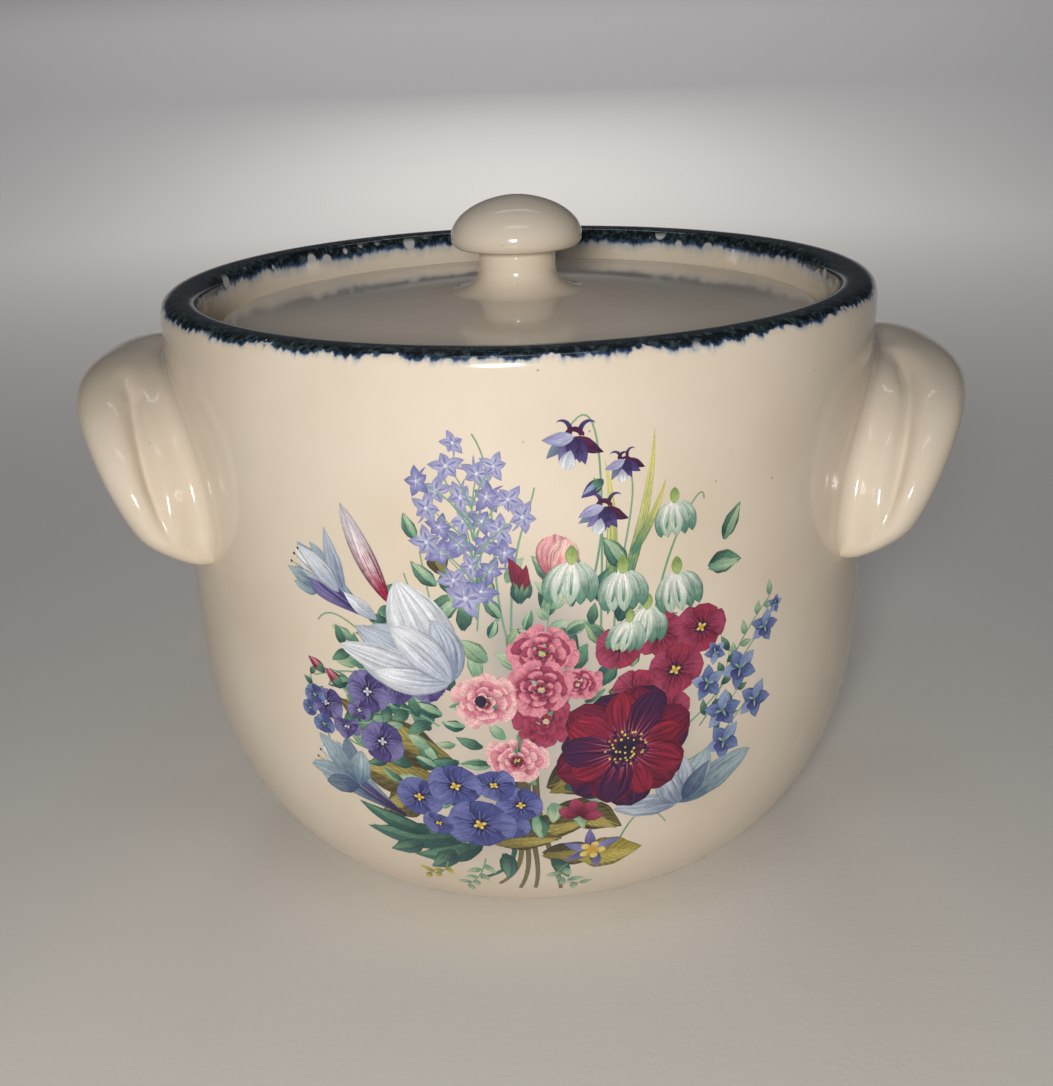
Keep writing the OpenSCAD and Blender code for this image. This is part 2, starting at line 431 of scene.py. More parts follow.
@dataclass
class CrockBody:
    """The thrown pot: foot ring, belly, wall, rounded rim and the ledge that carries the lid."""

    wall: WallShape
    floor_t: float = 8.0
    wall_t: float = 7.0
    inner_floor_r: float = 40.0
    foot_ring_w: float = 7.0
    foot_recess: float = 1.5
    foot_bevel: float = 1.2
    seat_z: float = 101.7
    seat_r: float = 60.9
    ledge_w: float = 5.5
    ledge_t: float = 3.0
    ledge_slope: float = 10.0
    rim_power: float = 0.74
    around: int = 360

    def profile(self) -> Profile:
        """Gives the pot's section, from the middle of its underside round to the middle of its floor."""
        w = self.wall
        ring_r = w.foot_r - self.foot_bevel - self.foot_ring_w
        lip, lip_z = w.rim_t / 2, w.crock_h - w.rim_t / 2
        under = softened(
            [
                (0, self.foot_recess, 0), (ring_r, self.foot_recess, 1.2), (ring_r + 0.4, 0, 0.8),
                (w.foot_r - self.foot_bevel, 0, 0.9), (float(w.outer_r(self.foot_bevel)), self.foot_bevel, 0)
            ]
        )
        curve = [
            (float(w.outer_r(z)), z) for z in w.belly_h * (1 - np.cos(np.linspace(0.3, math.pi / 2, 34)))
        ]
        straight = [(float(w.outer_r(z)), z) for z in np.linspace(w.belly_h, lip_z, 26)[1:]]
        arc = np.linspace(0, math.pi, 20)[1:]
        rim = [(w.rim_r - lip + math.copysign(lip * abs(math.cos(a)) ** self.rim_power, math.cos(a)),
                lip_z + lip * max(math.sin(a), 0.0) ** self.rim_power) for a in arc]
        ledge_r, inner_r = self.seat_r - self.ledge_w, w.belly_r - self.wall_t
        bowl_h = w.belly_h - self.floor_t
        inside = softened(
            [
                (w.rim_r - w.rim_t, lip_z, 0), (self.seat_r, self.seat_z, 0.8), (ledge_r, self.seat_z, 1.0),
                (ledge_r, self.seat_z - self.ledge_t, 1.2),
                (inner_r, self.seat_z - self.ledge_t - self.ledge_slope, 4.0), (inner_r, w.belly_h, 0)
            ]
        )[1:]
        bowl = [
            (
                self.inner_floor_r + (inner_r - self.inner_floor_r) * math.cos(a),
                w.belly_h - bowl_h * math.sin(a)
            )
            for a in np.linspace(0, math.pi / 2, 20)[1:]
        ]
        return under[:-1] + curve + straight + rim + inside + bowl + [(0, self.floor_t)]

    def build(self, glaze: CreamGlaze, band: RimBand) -> Piece:
        """Builds the pot and dresses it in cream glaze with its painted rim.

        Args:
            glaze: The cream glaze.
            band: The rim's brushed band.

        Returns:
            The pot, standing for its node.
        """
        # Glazed stoneware: a hard wet shine over cream, with the rim's oxides sunk into the same glaze.
        material, tree = new_material("cream_glazed_stoneware_banded")
        place = glaze.place_mm(tree)
        colour = band.over(
            tree, place, glaze.colour(tree, place), self.wall.crock_h, self.wall.rim_r, self.wall.rim_t
        )
        glaze.finish(tree, colour, glaze.relief(tree, place), glaze.shine(tree, place))
        points, faces = turned(self.profile(), self.around, self.wall)
        return mesh_piece("crock_glazed_body", points, faces, material)


class Side(Enum):
    """Which side of the pot a handle stands on."""

    LEFT = -1
    RIGHT = 1


@dataclass
class EarHandle:
    """A pulled strap bent into a downward arch, thumbed into two lobes and smoothed onto the wall."""

    wall: WallShape
    side: Side
    drop: float
    reach: float = 17.5
    height: float = 34.4
    width: float = 80.0
    power: float = 2.8
    strap_t: float = 8.6
    foot_taper: float = 0.64
    droop: float = 1.2
    sink: float = 1.8
    groove_from: float = 0.27
    groove_curl: float = -0.2
    groove_d: float = 1.45
    groove_w: float = 0.12
    crease_d: float = 1.0
    crease_w: float = 0.055
    valley_d: float = 0.9
    valley_w: float = 3.4
    fillet: float = 2.4
    smear: float = 4.6
    smear_t: float = 0.18
    smear_edge: float = 0.15
    dive: float = 0.4
    round_from: float = 0.86
    round_over: float = 0.14
    along: int = 141

    def groove(self, p: float, v: Array) -> Array:
        """Gives the depth of the groove that a thumb left along each leg.

        Args:
            p: Place along the leg, 0 at the arch's top and 1 at the foot.
            v: Place across the strap, 0 in the wall and 1 at its outer edge.

        Returns:
            The depth in millimetres.
        """
        share = ease((p - self.groove_from) / 0.26) * ease((0.93 - p) / 0.24)
        middle = 0.48 + 0.5 * max(0.0, p - 0.45) - self.groove_curl * max(0.0, 0.45 - p)
        beside = np.abs(v - middle)
        return share * (self.groove_d * np.exp(-((beside / self.groove_w) ** 2))
                        + self.crease_d * np.exp(-((beside / self.crease_w) ** 1.7)))

    def section(self, reach: float, joined: float, wander: float) -> tuple[Array, Array]:
        """Gives the way over one face: a film smeared on the wall, a small fillet, then out to the edge.

        Args:
            reach: How far the strap stands out there.
            joined: Share of the smear and fillet that is left there.
            wander: Share by which the smear's width strays.

        Returns:
            How far each point stands off the wall, and how far clay is built up over the strap there.
        """
        radius, film = self.fillet * joined, self.smear_t * joined
        thin = np.linspace(1, 0, 14, endpoint=False)
        turn = np.linspace(0, math.pi / 2, 10)
        out = np.linspace(0, 1, 54)[1:]
        out = 0.5 * out + 0.5 * np.sin(out * math.pi / 2)
        off = np.concatenate(
            [
                film - (film + self.smear_edge) * ease(thin), film + radius * (1 - np.cos(turn)),
                film + radius + (reach - film - radius) * out
            ]
        )
        built = np.concatenate(
            [radius + self.smear * joined * (1 + wander) * thin, radius * (1 - np.sin(turn)), 0 * out]
        )
        return off, built

    def strap(self, q: float, upper: bool) -> Array:
        """Gives a line of points over one face of the strap, from the wall to its outer edge.

        Args:
            q: Place along the arch, -1 and 1 at its feet and 0 at its top.
            upper: True for the face that looks away from the hollow.

        Returns:
            The points in millimetres.
        """
        p, turn = abs(q), math.radians(90 * abs(q))
        half_w, mid_h = self.width / 2 - self.strap_t / 2, self.height - self.strap_t / 2
        s, c = math.sin(turn), max(math.cos(turn), 0.0)
        polar = ((s / half_w) ** self.power + (c / mid_h) ** self.power) ** (-1 / self.power)
        mid_y, mid_z = polar * s, polar * c
        lean = math.atan2(
            mid_y ** (self.power - 1) / half_w**self.power, mid_z ** (self.power - 1) / mid_h**self.power
        )
        taper = self.foot_taper * p**5
        past_round = max(0.0, p - self.round_from) / self.round_over
        end = math.sqrt(max(0.0, 1 - past_round**2))
        reach = self.reach * (1 - taper) * end
        half_t = self.strap_t / 2 * (1 - 0.3 * taper) * (0.25 + 0.75 * end)
        joined = max(0.02, float(ease(reach / 9) * ease((0.99 - p) / 0.1))) * (1.0 if upper else 0.5)
        off, built = self.section(reach, joined, 0.16 * math.sin(9 * q + 1) + 0.1 * math.sin(23 * q))
        v = (off + self.sink) / (reach + self.sink)
        face = half_t * np.sqrt(np.clip(1 - v**6, 0, 1)) + built
        if upper:
            past = np.maximum(off - (self.smear_t + self.fillet) * joined, 0)
            face = face - self.groove(p, v) - self.valley_d * joined * np.exp(-((past / self.valley_w) ** 2))
        rise = (face if upper else -face) - self.droop * max(0.0, 1 - (2 * q) ** 2) * v**4
        y = math.copysign(1, q) * (mid_y + rise * math.sin(lean))
        z = self.wall.crock_h - self.drop - self.height + mid_z + rise * math.cos(lean)
        around = np.arcsin(np.clip(y / self.wall.outer_r(z), -1, 1))
        angle = around if self.side is Side.RIGHT else math.pi - around
        r = self.wall.outer_r(z) + self.wall.unevenness(angle, z) + off - self.dive * (1 - ease(reach / 3))
        return np.column_stack([r * np.cos(angle), r * np.sin(angle), z])

    def build(self, material: Material) -> Piece:
        """Builds the handle as one closed skin.

        Args:
            material: Its glaze.

        Returns:
            The handle.
        """
        closer = np.sin(np.linspace(-math.pi / 2, math.pi / 2, self.along))
        places = closer * 0.35 + np.linspace(-1, 1, self.along) * 0.65
        rings = [np.vstack([self.strap(float(q), True), self.strap(float(q), False)[-2::-1]]) for q in places]
        size, last = len(rings[0]), (self.along - 1) * len(rings[0])
        faces = [
            (i * size + j, i * size + (j + 1) % size, (i + 1) * size + (j + 1) % size, (i + 1) * size + j)
            for i in range(self.along - 1) for j in range(size)
        ]
        faces += [tuple(range(size - 1, -1, -1)), tuple(range(last, last + size))]
        if self.side is Side.LEFT:
            faces = [face[::-1] for face in faces]
        return mesh_piece(f"{self.side.name.lower()}_ear_handle", np.vstack(rings), faces, material)


@dataclass
class SunkLid:
    """The lid that sits inside the rim on the ledge, and its mushroom knob."""

    seat_z: float = 101.7
    lid_r: float = 60.0
    lid_t: float = 6.0
    rise: float = 3.5
    hollow: float = 2.0
    foot_r: float = 53.6
    brow: float = 6.0
    knob_r: float = 13.0
    knob_h: float = 18.4
    dome_h: float = 7.9
    dome_power: float = 1.12
    under_h: float = 2.3
    stem_r: float = 7.6
    flare: float = 8.5
    flare_h: float = 4.8
    around: int = 256

    def plate_profile(self) -> Profile:
        """Gives the lid's section, from the middle of its underside round to its middle on top."""
        z, top, brow_r = self.seat_z, self.seat_z + self.lid_t, self.lid_r - self.brow
        edge = softened(
            [
                (0, z + self.hollow, 0), (self.foot_r - 2 * self.hollow, z + self.hollow, 2.0),
                (self.foot_r, z, 1.0), (self.lid_r - 1, z, 0.7), (self.lid_r, z + 1, 0.8),
                (self.lid_r, top, 2.4), (brow_r, top + 0.2, 0)
            ]
        )
        span = brow_r - self.stem_r
        slope = []
        for r in np.linspace(brow_r, self.stem_r, 30)[1:]:
            climb = math.sin((brow_r - r) / span * math.pi / 2) ** 1.25
            slope.append((float(r), float(top + 0.2 + (self.rise - 0.2) * climb)))
        return edge + slope + [(0, top + self.rise)]

    def knob_profile(self) -> Profile:
        """Gives the knob's section, from under its stem round to the top of its dome."""
        base = self.seat_z + self.lid_t + self.rise
        wide = base + self.knob_h - self.dome_h
        centre = self.stem_r + self.flare
        flare = [
            (centre - self.flare * math.sin(a) ** 0.85, base - 0.25 + self.flare_h * (1 - math.cos(a)))
            for a in np.linspace(0, math.pi / 2, 14)
        ]
        stem = softened(
            [
                (self.stem_r, base + self.flare_h - 0.25, 0), (self.stem_r, wide - self.under_h + 0.1, 1.6),
                (self.knob_r - self.under_h * 0.9, wide - self.under_h, 1.6), (self.knob_r, wide, 0)
            ],
            8
        )[1:-1]
        roll = [
            (self.knob_r - self.under_h * (1 - math.cos(a)), wide + self.under_h * math.sin(a))
            for a in np.linspace(-1.0, 0, 8)
        ]
        dome = [(self.knob_r * math.cos(a) ** self.dome_power, wide + self.dome_h * math.sin(a))
                for a in np.linspace(0.08, math.pi / 2, 26)[:-1]]
        hidden = [(0, base - 1.4), (centre + 3.2, base - 1.1), (centre + 1.6, base - 0.5)]
        return hidden + flare + stem + roll + dome + [(0, wide + self.dome_h)]

    def build(self, material: Material) -> tuple[Piece, Piece]:
        """Builds the lid and the knob.

        Args:
            material: Their glaze.

        Returns:
            The lid and its knob.
        """
        plate = mesh_piece("sunk_lid_plate", *turned(self.plate_profile(), self.around), material)
        knob = mesh_piece("mushroom_knob", *turned(self.knob_profile(), 128), material)
        return plate, knob


# ---------------------------------------------------------------- the flower transfer


@dataclass(frozen=True)
class Ink:
    """Printed colours of one petal or leaf, and how its veins, rim and hatching are drawn."""

    base: str
    tip: str
    vein: float = 0.4
    rim: float = 0.45
    hatch: float = 0.0


class Outline(Enum):
    """How a petal's width runs along it: where it is widest, and how blunt its ends are."""

    ROUND = (0.64, 0.5)
    OVAL = (0.5, 0.7)
    POINTED = (0.42, 1.0)
    BLADE = (0.3, 0.75)
    FAN = (0.8, 0.45)
    STEM = (0.5, 0.1)
    DOT = (0.5, 0.5)


@dataclass
class Petal:
    """One printed shape: a spine on the flat sheet with a width to each side of it."""

    spine: Array
    half: Array
    ink: Ink
    seed: float

    def sides(self) -> tuple[Array, Array]:
        """Gives the spine's directions and its normals."""
        along = np.gradient(self.spine, axis=0)
        along /= np.maximum(np.linalg.norm(along, axis=1, keepdims=True), 1e-9)
        return along, np.column_stack([-along[:, 1], along[:, 0]])

    def outline(self) -> Array:
        """Gives the closed outline, with one point at each pointed end."""
        _, side = self.sides()
        wide = self.half > 0.02
        left = (self.spine + side * self.half[:, None])[wide]
        right = (self.spine - side * self.half[:, None])[wide][::-1]
        ends = [
            self.spine[:1] if not wide[0] else self.spine[:0],
            self.spine[-1:] if not wide[-1] else self.spine[:0]
        ]
        return np.vstack([ends[0], left, ends[1], right])

    def place(self, points: Array) -> Array:
        """Gives each point's share along the petal, 0 to 1, and across it, -1 to 1."""
        start, step = self.spine[:-1], np.diff(self.spine, axis=0)
        length = np.maximum((step**2).sum(1), 1e-12)
        offset = points[:, None, :] - start[None]
        t = np.clip((offset * step).sum(2) / length, 0, 1)
        gap = offset - t[:, :, None] * step[None]
        best = (gap**2).sum(2).argmin(1)
        row = np.arange(len(points))
        u = (best + t[row, best]) / len(start)
        side = np.sign(step[best, 0] * gap[row, best, 1] - step[best, 1] * gap[row, best, 0])
        width = np.interp(u, np.linspace(0, 1, len(self.half)), np.maximum(self.half, 0.05))
        return np.column_stack([u, np.clip(side * np.linalg.norm(gap[row, best], axis=1) / width, -1, 1)])


@dataclass
class Bouquet:
    """A loose country bouquet, drawn from the back to the front on a flat sheet in millimetres."""

    rng: random.Random = field(default_factory=lambda: random.Random(23))
    petals: list[Petal] = field(default_factory=list)
    offset: Spot = (0.0, 0.0)

    leaf_green = Ink("#27504b", "#648f76", 0.6, 0.55, 0.35)
    pale_green = Ink("#6f9a80", "#abc3a2", 0.6, 0.55, 0.25)
    teal_green = Ink("#1d4445", "#376f68", 0.6, 0.5, 0.3)
    olive_dark = Ink("#46402f", "#655b38", 0.7, 0.5, 0.7)
    olive_light = Ink("#7d733e", "#a89b57", 0.6, 0.5, 0.8)
    stem_green = Ink("#6f9a80", "#86ab84", 0.2, 0.3)
    stem_olive = Ink("#5b5540", "#77704d", 0.4, 0.4)
    crimson = Ink("#3b0d2b", "#6b1839", 0.95, 0.5)
    crimson_lit = Ink("#6d1c3e", "#861d38", 1.0, 0.4)
    plum = Ink("#54173f", "#3f1943", 0.95, 0.45)
    maroon = Ink("#5a1230", "#9c3350", 0.5, 0.45)
    rose_deep = Ink("#5e1431", "#a2405f", 0.45, 0.4)
    rose_mid = Ink("#8f2f50", "#d98a9a", 0.45, 0.3)
    rose_pale = Ink("#b1516a", "#ebbdbd", 0.4, 0.3)
    white = Ink("#a4aec0", "#dde1e8", 0.6, 0.4)
    white_shade = Ink("#7b89a3", "#b7c1cf", 0.65, 0.45)
    snow = Ink("#e8e9e2", "#aec3b2", 0.5, 0.55)
    snow_shade = Ink("#c3d2c6", "#5a8776", 0.6, 0.6)
    lilac = Ink("#8f91c0", "#6d71aa", 0.55, 0.5)
    lilac_pale = Ink("#b3b4d2", "#8e90bc", 0.5, 0.45)
    purple = Ink("#2f2350", "#504580", 0.6, 0.45)
    purple_lit = Ink("#483e74", "#7a74a8", 0.6, 0.4)
    violet = Ink("#2b2f63", "#4c5390", 0.55, 0.45)
    violet_lit = Ink("#3c4380", "#6d74ad", 0.5, 0.4)
    bell_blue = Ink("#3d4c84", "#7084b3", 0.5, 0.45)
    bell_pale = Ink("#7286b4", "#94a5c8", 0.5, 0.45)
    dusk = Ink("#55708a", "#a3b6bf", 0.55, 0.45)
    dusk_dark = Ink("#3f4f74", "#6f8298", 0.55, 0.45)
    yellow = Ink("#c99b34", "#ecd779", 0.3, 0.3)
    night = Ink("#1c1630", "#2c2140", 0.2, 0.3)

    def shape(self, spine: Array, half: Array, ink: Ink) -> None:
        """Adds one shape over those drawn before it, mirrored and moved to where its group stands."""
        placed = np.asarray(spine, float) * (-1, 1) + self.offset
        self.petals.append(Petal(placed, np.asarray(half, float), ink, self.rng.random()))

    def move(self, across: float, up: float) -> None:
        """Sets how far the group drawn next stands from its own place."""
        self.offset = (across, up)

    def petal(self, at: Spot, heading: float, length: float, half: float, ink: Ink,
              form: Outline = Outline.ROUND, bend: float = 0.0, ruffle: float = 0.0) -> Spot:
        """Draws one petal, leaf or dot.

        Args:
            at: Where its base is.
            heading: Which way it points, in degrees; 90 is up.
            length: Its length.
            half: Half its greatest width.
            ink: Its colours.
            form: Its outline.
            bend: How far its tip has turned, in degrees.
            ruffle: How wavy its rim is, as a share of its width.

        Returns:
            Where its tip is.
        """
        n = int(np.clip(7 + length * 0.8, 7, 15))
        t = np.linspace(0, 1, n)
        angle = np.radians(heading + bend * t**1.5)
        step = np.column_stack([np.cos(angle), np.sin(angle)]) * length / (n - 1)
        spine = np.array(at) + np.vstack([[0, 0], np.cumsum((step[:-1] + step[1:]) / 2, axis=0)])
        peak, blunt = form.value
        width = np.sin(np.pi * t ** (math.log(0.5) / math.log(peak))).clip(0) ** blunt
        phase = self.rng.random() * 6
        width *= 1 + ruffle * np.sin(t * 19 + phase)
        self.shape(spine, half * width, ink)
        return tuple(spine[-1])

    def dot(self, at: Spot, radius: float, ink: Ink) -> None:
        """Draws a round dot."""
        self.petal((at[0] - radius, at[1]), 0, 2 * radius, radius, ink, Outline.DOT)

    def stem(self, points: list[Spot], width: float, ink: Ink) -> None:
        """Draws a thin stem that follows those points smoothly."""
        knots = np.array(points, float)
        t = np.arange(len(knots))
        fine = np.linspace(0, len(knots) - 1, 5 * len(knots) - 2)
        smooth = np.polynomial.polynomial.Polynomial.fit
        degree = min(3, len(knots) - 1)
        spine = np.column_stack([smooth(t, knots[:, k], degree)(fine) for k in (0, 1)])
        self.shape(spine, width / 2 * (1 - 0.35 * np.linspace(0, 1, len(fine))), ink)

    def ring(
        self, at: Spot, count: int, length: float, half: float, ink: Ink, form: Outline = Outline.ROUND,
        start: float = 90.0, inner: float = 0.0, squash: float = 1.0, bend: float = 0.0, ruffle: float = 0.03,
        loose: float = 6.0
    ) -> None:
        """Draws a ring of petals round a middle.

        Args:
            at: The middle.
            count: How many petals.
            length: Their length.
            half: Half their width.
            ink: Their colours.
            form: Their outline.
            start: Which way the first one points, in degrees.
            inner: How far from the middle they begin.
            squash: How much the ring is flattened by being seen from the side.
            bend: How far each turns, in degrees.
            ruffle: How wavy their rims are.
            loose: How unevenly they point, in degrees.
        """
        for i in range(count):
            heading = start + 360 * i / count + self.rng.uniform(-loose, loose)
            c, s = math.cos(math.radians(heading)), math.sin(math.radians(heading)) * squash
            reach = math.hypot(c, s)
            base = (at[0] + inner * c, at[1] + inner * s)
            grown = length * reach * self.rng.uniform(0.93, 1.06)
            self.petal(
                base, math.degrees(math.atan2(s, c)), grown, half * (0.5 + 0.5 / max(reach, 0.5)), ink, form,
                bend * self.rng.choice((-1, 1)), ruffle
            )

    def leaf(
        self, at: Spot, heading: float, length: float, half: float, dark: Ink, light: Ink, bend: float = 0.0
    ) -> None:
        """Draws a leaf with one shaded and one lit half, and its midrib."""
        self.petal(at, heading, length, half, dark, Outline.POINTED, bend, 0.05)
        turn = math.radians(heading + 90)
        lifted = (at[0] + math.cos(turn) * half * 0.3, at[1] + math.sin(turn) * half * 0.3)
        self.petal(lifted, heading - 1.5, length * 0.94, half * 0.5, light, Outline.POINTED, bend, 0.06)
        self.petal(at, heading, length * 0.97, 0.16, light, Outline.STEM, bend)

    def spray(self, points: list[Spot], leaflets: int, size: float, ink: Ink) -> None:
        """Draws a stem with small leaves up both its sides."""
        self.stem(points, 0.35, self.stem_green)
        knots = np.array(points, float)
        for i in range(leaflets):
            t = (i + 1) / leaflets * (len(knots) - 1)
            low = min(int(t), len(knots) - 2)
            at = knots[low] + (knots[low + 1] - knots[low]) * (t - low)
            way = math.degrees(math.atan2(*(knots[low + 1] - knots[low])[::-1]))
            self.petal(
                tuple(at), way + (48 if i % 2 else -48), size * self.rng.uniform(0.8, 1.2), size * 0.24, ink,
                Outline.POINTED, self.rng.uniform(-25, 25)
            )

    def anemone(self, at: Spot, size: float) -> None:
        """Draws the large dark flower with its crown of stamens."""
        self.ring(at, 7, size * 0.98, size * 0.36, self.plum, start=12, ruffle=0.04)
        self.ring(at, 6, size * 1.0, size * 0.34, self.crimson, start=38, ruffle=0.05, loose=9)
        for heading in (84, 160, 250, 335, 30, 200):
            self.petal(
                at, heading, size * self.rng.uniform(0.84, 0.97), size * self.rng.uniform(0.2, 0.27),
                self.crimson_lit, bend=self.rng.uniform(-14, 14), ruffle=0.05
            )
        for heading in (118, 285, 5):
            self.petal(
                at, heading, size * 0.93, size * 0.25, self.plum, bend=self.rng.uniform(-12, 12), ruffle=0.04
            )
        pale = Ink("#a35a78", "#8c1f3d", 0.2, 0.1)
        for i in range(34):
            heading = i * 360 / 34 + self.rng.uniform(-4, 4)
            base = (
                at[0] + size * 0.2 * math.cos(math.radians(heading)),
                at[1] + size * 0.2 * math.sin(math.radians(heading))
            )
            self.petal(
                base, heading, size * self.rng.uniform(0.25, 0.55), 0.1, pale, Outline.BLADE,
                self.rng.uniform(-8, 8)
            )
        self.dot(at, size * 0.15, self.night)
        for i in range(46):
            angle, reach = i * GOLDEN, size * (0.14 + 0.19 * self.rng.random())
            tip = (at[0] + reach * math.cos(angle), at[1] + reach * math.sin(angle))
            self.petal(at, math.degrees(angle), reach, 0.09, self.night, Outline.STEM)
            self.dot(tip, self.rng.uniform(0.26, 0.4), self.night)
        for i in range(34):
            angle, reach = i * GOLDEN + 1, size * 0.31 * math.sqrt(self.rng.random())
            self.dot(
                (at[0] + reach * math.cos(angle), at[1] + reach * math.sin(angle)),
                self.rng.uniform(0.17, 0.28), self.yellow
            )

    def rose(self, at: Spot, size: float, outer: Ink, inner: Ink, squash: float = 0.86) -> None:
        """Draws a full garden rose: rows of cupped petals that grow smaller and deeper towards the heart."""
        heart = (at[0] + self.rng.uniform(-0.08, 0.08) * size, at[1] - 0.06 * size)
        for share, count, ink in (
            (1.0, 9, outer), (0.86, 8, outer), (0.74, 8, inner), (0.62, 7, outer), (0.5, 6, inner),
            (0.38, 5, outer), (0.27, 4, inner)
        ):
            middle = (heart[0] + (at[0] - heart[0]) * share, heart[1] + (at[1] - heart[1]) * share)
            start = self.rng.uniform(0, 90)
            for i in range(count):
                heading = math.radians(start + 360 * i / count + self.rng.uniform(-12, 12))
                c, s = math.cos(heading), math.sin(heading) * squash
                grown = size * share * self.rng.uniform(0.86, 1.07)
                base = (middle[0] + 0.45 * grown * c, middle[1] + 0.45 * grown * s)
                way, reach = math.degrees(math.atan2(s, c)), math.hypot(c, s)
                self.petal(
                    base, way + self.rng.uniform(-16, 16), 0.56 * grown * reach,
                    grown * self.rng.uniform(0.27, 0.36), ink, Outline.ROUND, self.rng.uniform(-25, 25), 0.05
                )
        for i in range(6):
            angle = i * 1.05 + 0.3
            self.petal(
                (heart[0] + size * 0.12 * math.cos(angle), heart[1] + size * 0.1 * math.sin(angle)),
                60 * i + 100, size * 0.22, size * 0.06, self.rose_deep if i % 2 else self.maroon,
                Outline.OVAL, 80
            )
        for _ in range(5):
            self.dot(
                (
                    heart[0] + self.rng.uniform(-0.09, 0.09) * size,
                    heart[1] + self.rng.uniform(-0.07, 0.07) * size
                ),
                size * 0.028, self.yellow
            )

    def open_flower(
        self, at: Spot, size: float, ink: Ink, lit: Ink, heart: Ink, squash: float = 0.85, count: int = 5
    ) -> None:
        """Draws a small open flower with round petals, a dark throat and a pale heart."""
        start = self.rng.uniform(0, 72)
        for i in range(count):
            self.ring(
                at, 1, size * self.rng.uniform(0.9, 1.04), size * 0.5, ink if i % 2 else lit, Outline.ROUND,
                start + 360 * i / count, squash=squash, ruffle=0.07
            )
        self.ring(at, 15, size * 0.6, size * 0.025, lit, Outline.BLADE, start, squash=squash)
        self.ring(at, count * 2, size * 0.34, size * 0.045, self.night, Outline.POINTED, start, squash=squash)
        self.ring(at, 4, size * 0.2, size * 0.055, heart, Outline.OVAL, start + 30, squash=squash)

    def star(self, at: Spot, size: float, tilt: float) -> None:
        """Draws one lilac floret of a flower spike."""
        ink, pale = (
            self.lilac, self.lilac_pale
        ) if self.rng.random() < 0.6 else (self.lilac_pale, self.lilac)
        self.petal(at, tilt + 180, size * 1.1, size * 0.1, ink, Outline.BLADE, 30)
        for i in range(5):
            heading = tilt + 72 * i + self.rng.uniform(-9, 9)
            self.petal(
                at, heading, size * (0.75 if i % 2 else 1.0), size * 0.28, ink, Outline.POINTED,
                self.rng.uniform(-20, 20)
            )
            self.petal(at, heading, size * 0.6, size * 0.07, pale, Outline.POINTED)
        self.dot(at, size * 0.13, self.white)

    def snow_bell(self, at: Spot, size: float, lean: float) -> None:
        """Draws a white hanging bell with green-tipped petals under a green cap."""
        down = 270 + lean
        for offset, ink in (
            (-26, self.snow_shade), (26, self.snow_shade), (-13, self.snow_shade), (15, self.snow),
            (0, self.snow)
        ):
            start = (at[0] + offset * 0.01 * size, at[1])
            self.petal(
                start, down + offset * 1.2, size * 1.62, size * 0.33, ink, Outline.OVAL, -offset * 1.35, 0.03
            )
        for offset in (-18, 0, 16):
            self.petal(
                (at[0] + offset * 0.012 * size, at[1] - 0.3 * size), down + offset, size * 0.95, size * 0.05,
                self.snow_shade, Outline.STEM
            )
        self.petal(
            (at[0], at[1] + size * 0.62), 270 + lean * 0.4, size * 0.75, size * 0.22,
            Ink("#7f9b54", "#a9bd77", 0.3, 0.5), Outline.OVAL
        )

    def columbine(self, at: Spot, size: float, lean: float) -> None:
        """Draws a dark nodding flower with curled spurs."""
        for side in (-1, 1):
            self.petal(
                (at[0] + side * size * 0.2, at[1]), 90 + side * 12 + lean, size * 1.0, size * 0.09,
                self.purple, Outline.BLADE, -side * 150
            )
            self.petal(
                (at[0] + side * size * 0.35, at[1]), 80 + side * 30 + lean, size * 0.8, size * 0.09,
                self.plum, Outline.BLADE, side * 120
            )
        for heading, ink, grow in (
            (215, self.plum, 1.25), (325, self.dusk_dark, 1.3), (240, self.purple, 1.15),
            (300, self.purple_lit, 1.15), (270, self.purple, 1.1), (345, self.lilac_pale, 1.2)
        ):
            self.petal(
                at, heading + lean, size * grow, size * 0.26, ink, Outline.POINTED, self.rng.uniform(-25, 25),
                0.03
            )
        self.petal(
            (at[0] + size * 0.15, at[1] - size * 0.5), 280 + lean, size * 0.75, size * 0.3, self.white,
            Outline.ROUND
        )
        self.petal(
            (at[0] - size * 0.15, at[1] - size * 0.4), 262 + lean, size * 0.6, size * 0.16, self.purple,
            Outline.POINTED
        )

    def blue_bell(self, at: Spot, size: float, lean: float) -> None:
        """Draws a small blue bell, open towards the viewer."""
        for i in range(5):
            ink = (self.bell_blue, self.bell_pale)[i % 2]
            self.petal(
                at, lean + 72 * i + self.rng.uniform(-8, 8), size, size * 0.34, ink, Outline.POINTED,
                self.rng.uniform(-15, 15), 0.04
            )
        self.petal(at, lean + 30, size * 0.55, size * 0.36, self.violet, Outline.ROUND)
        self.ring(at, 3, size * 0.4, size * 0.06, self.pale_green, Outline.POINTED, lean)

    def bud(self, at: Spot, heading: float, length: float, half: float, ink: Ink, lit: Ink) -> None:
        """Draws a closed bud in its green cup."""
        self.petal(at, heading, length, half, ink, Outline.POINTED)
        self.petal(at, heading + 9, length * 0.92, half * 0.42, lit, Outline.POINTED, -14)
        for turn in (-26, 26, 0):
            self.petal(
                at, heading + turn, length * 0.5, half * 0.36, self.leaf_green, Outline.POINTED, -turn * 0.8
            )

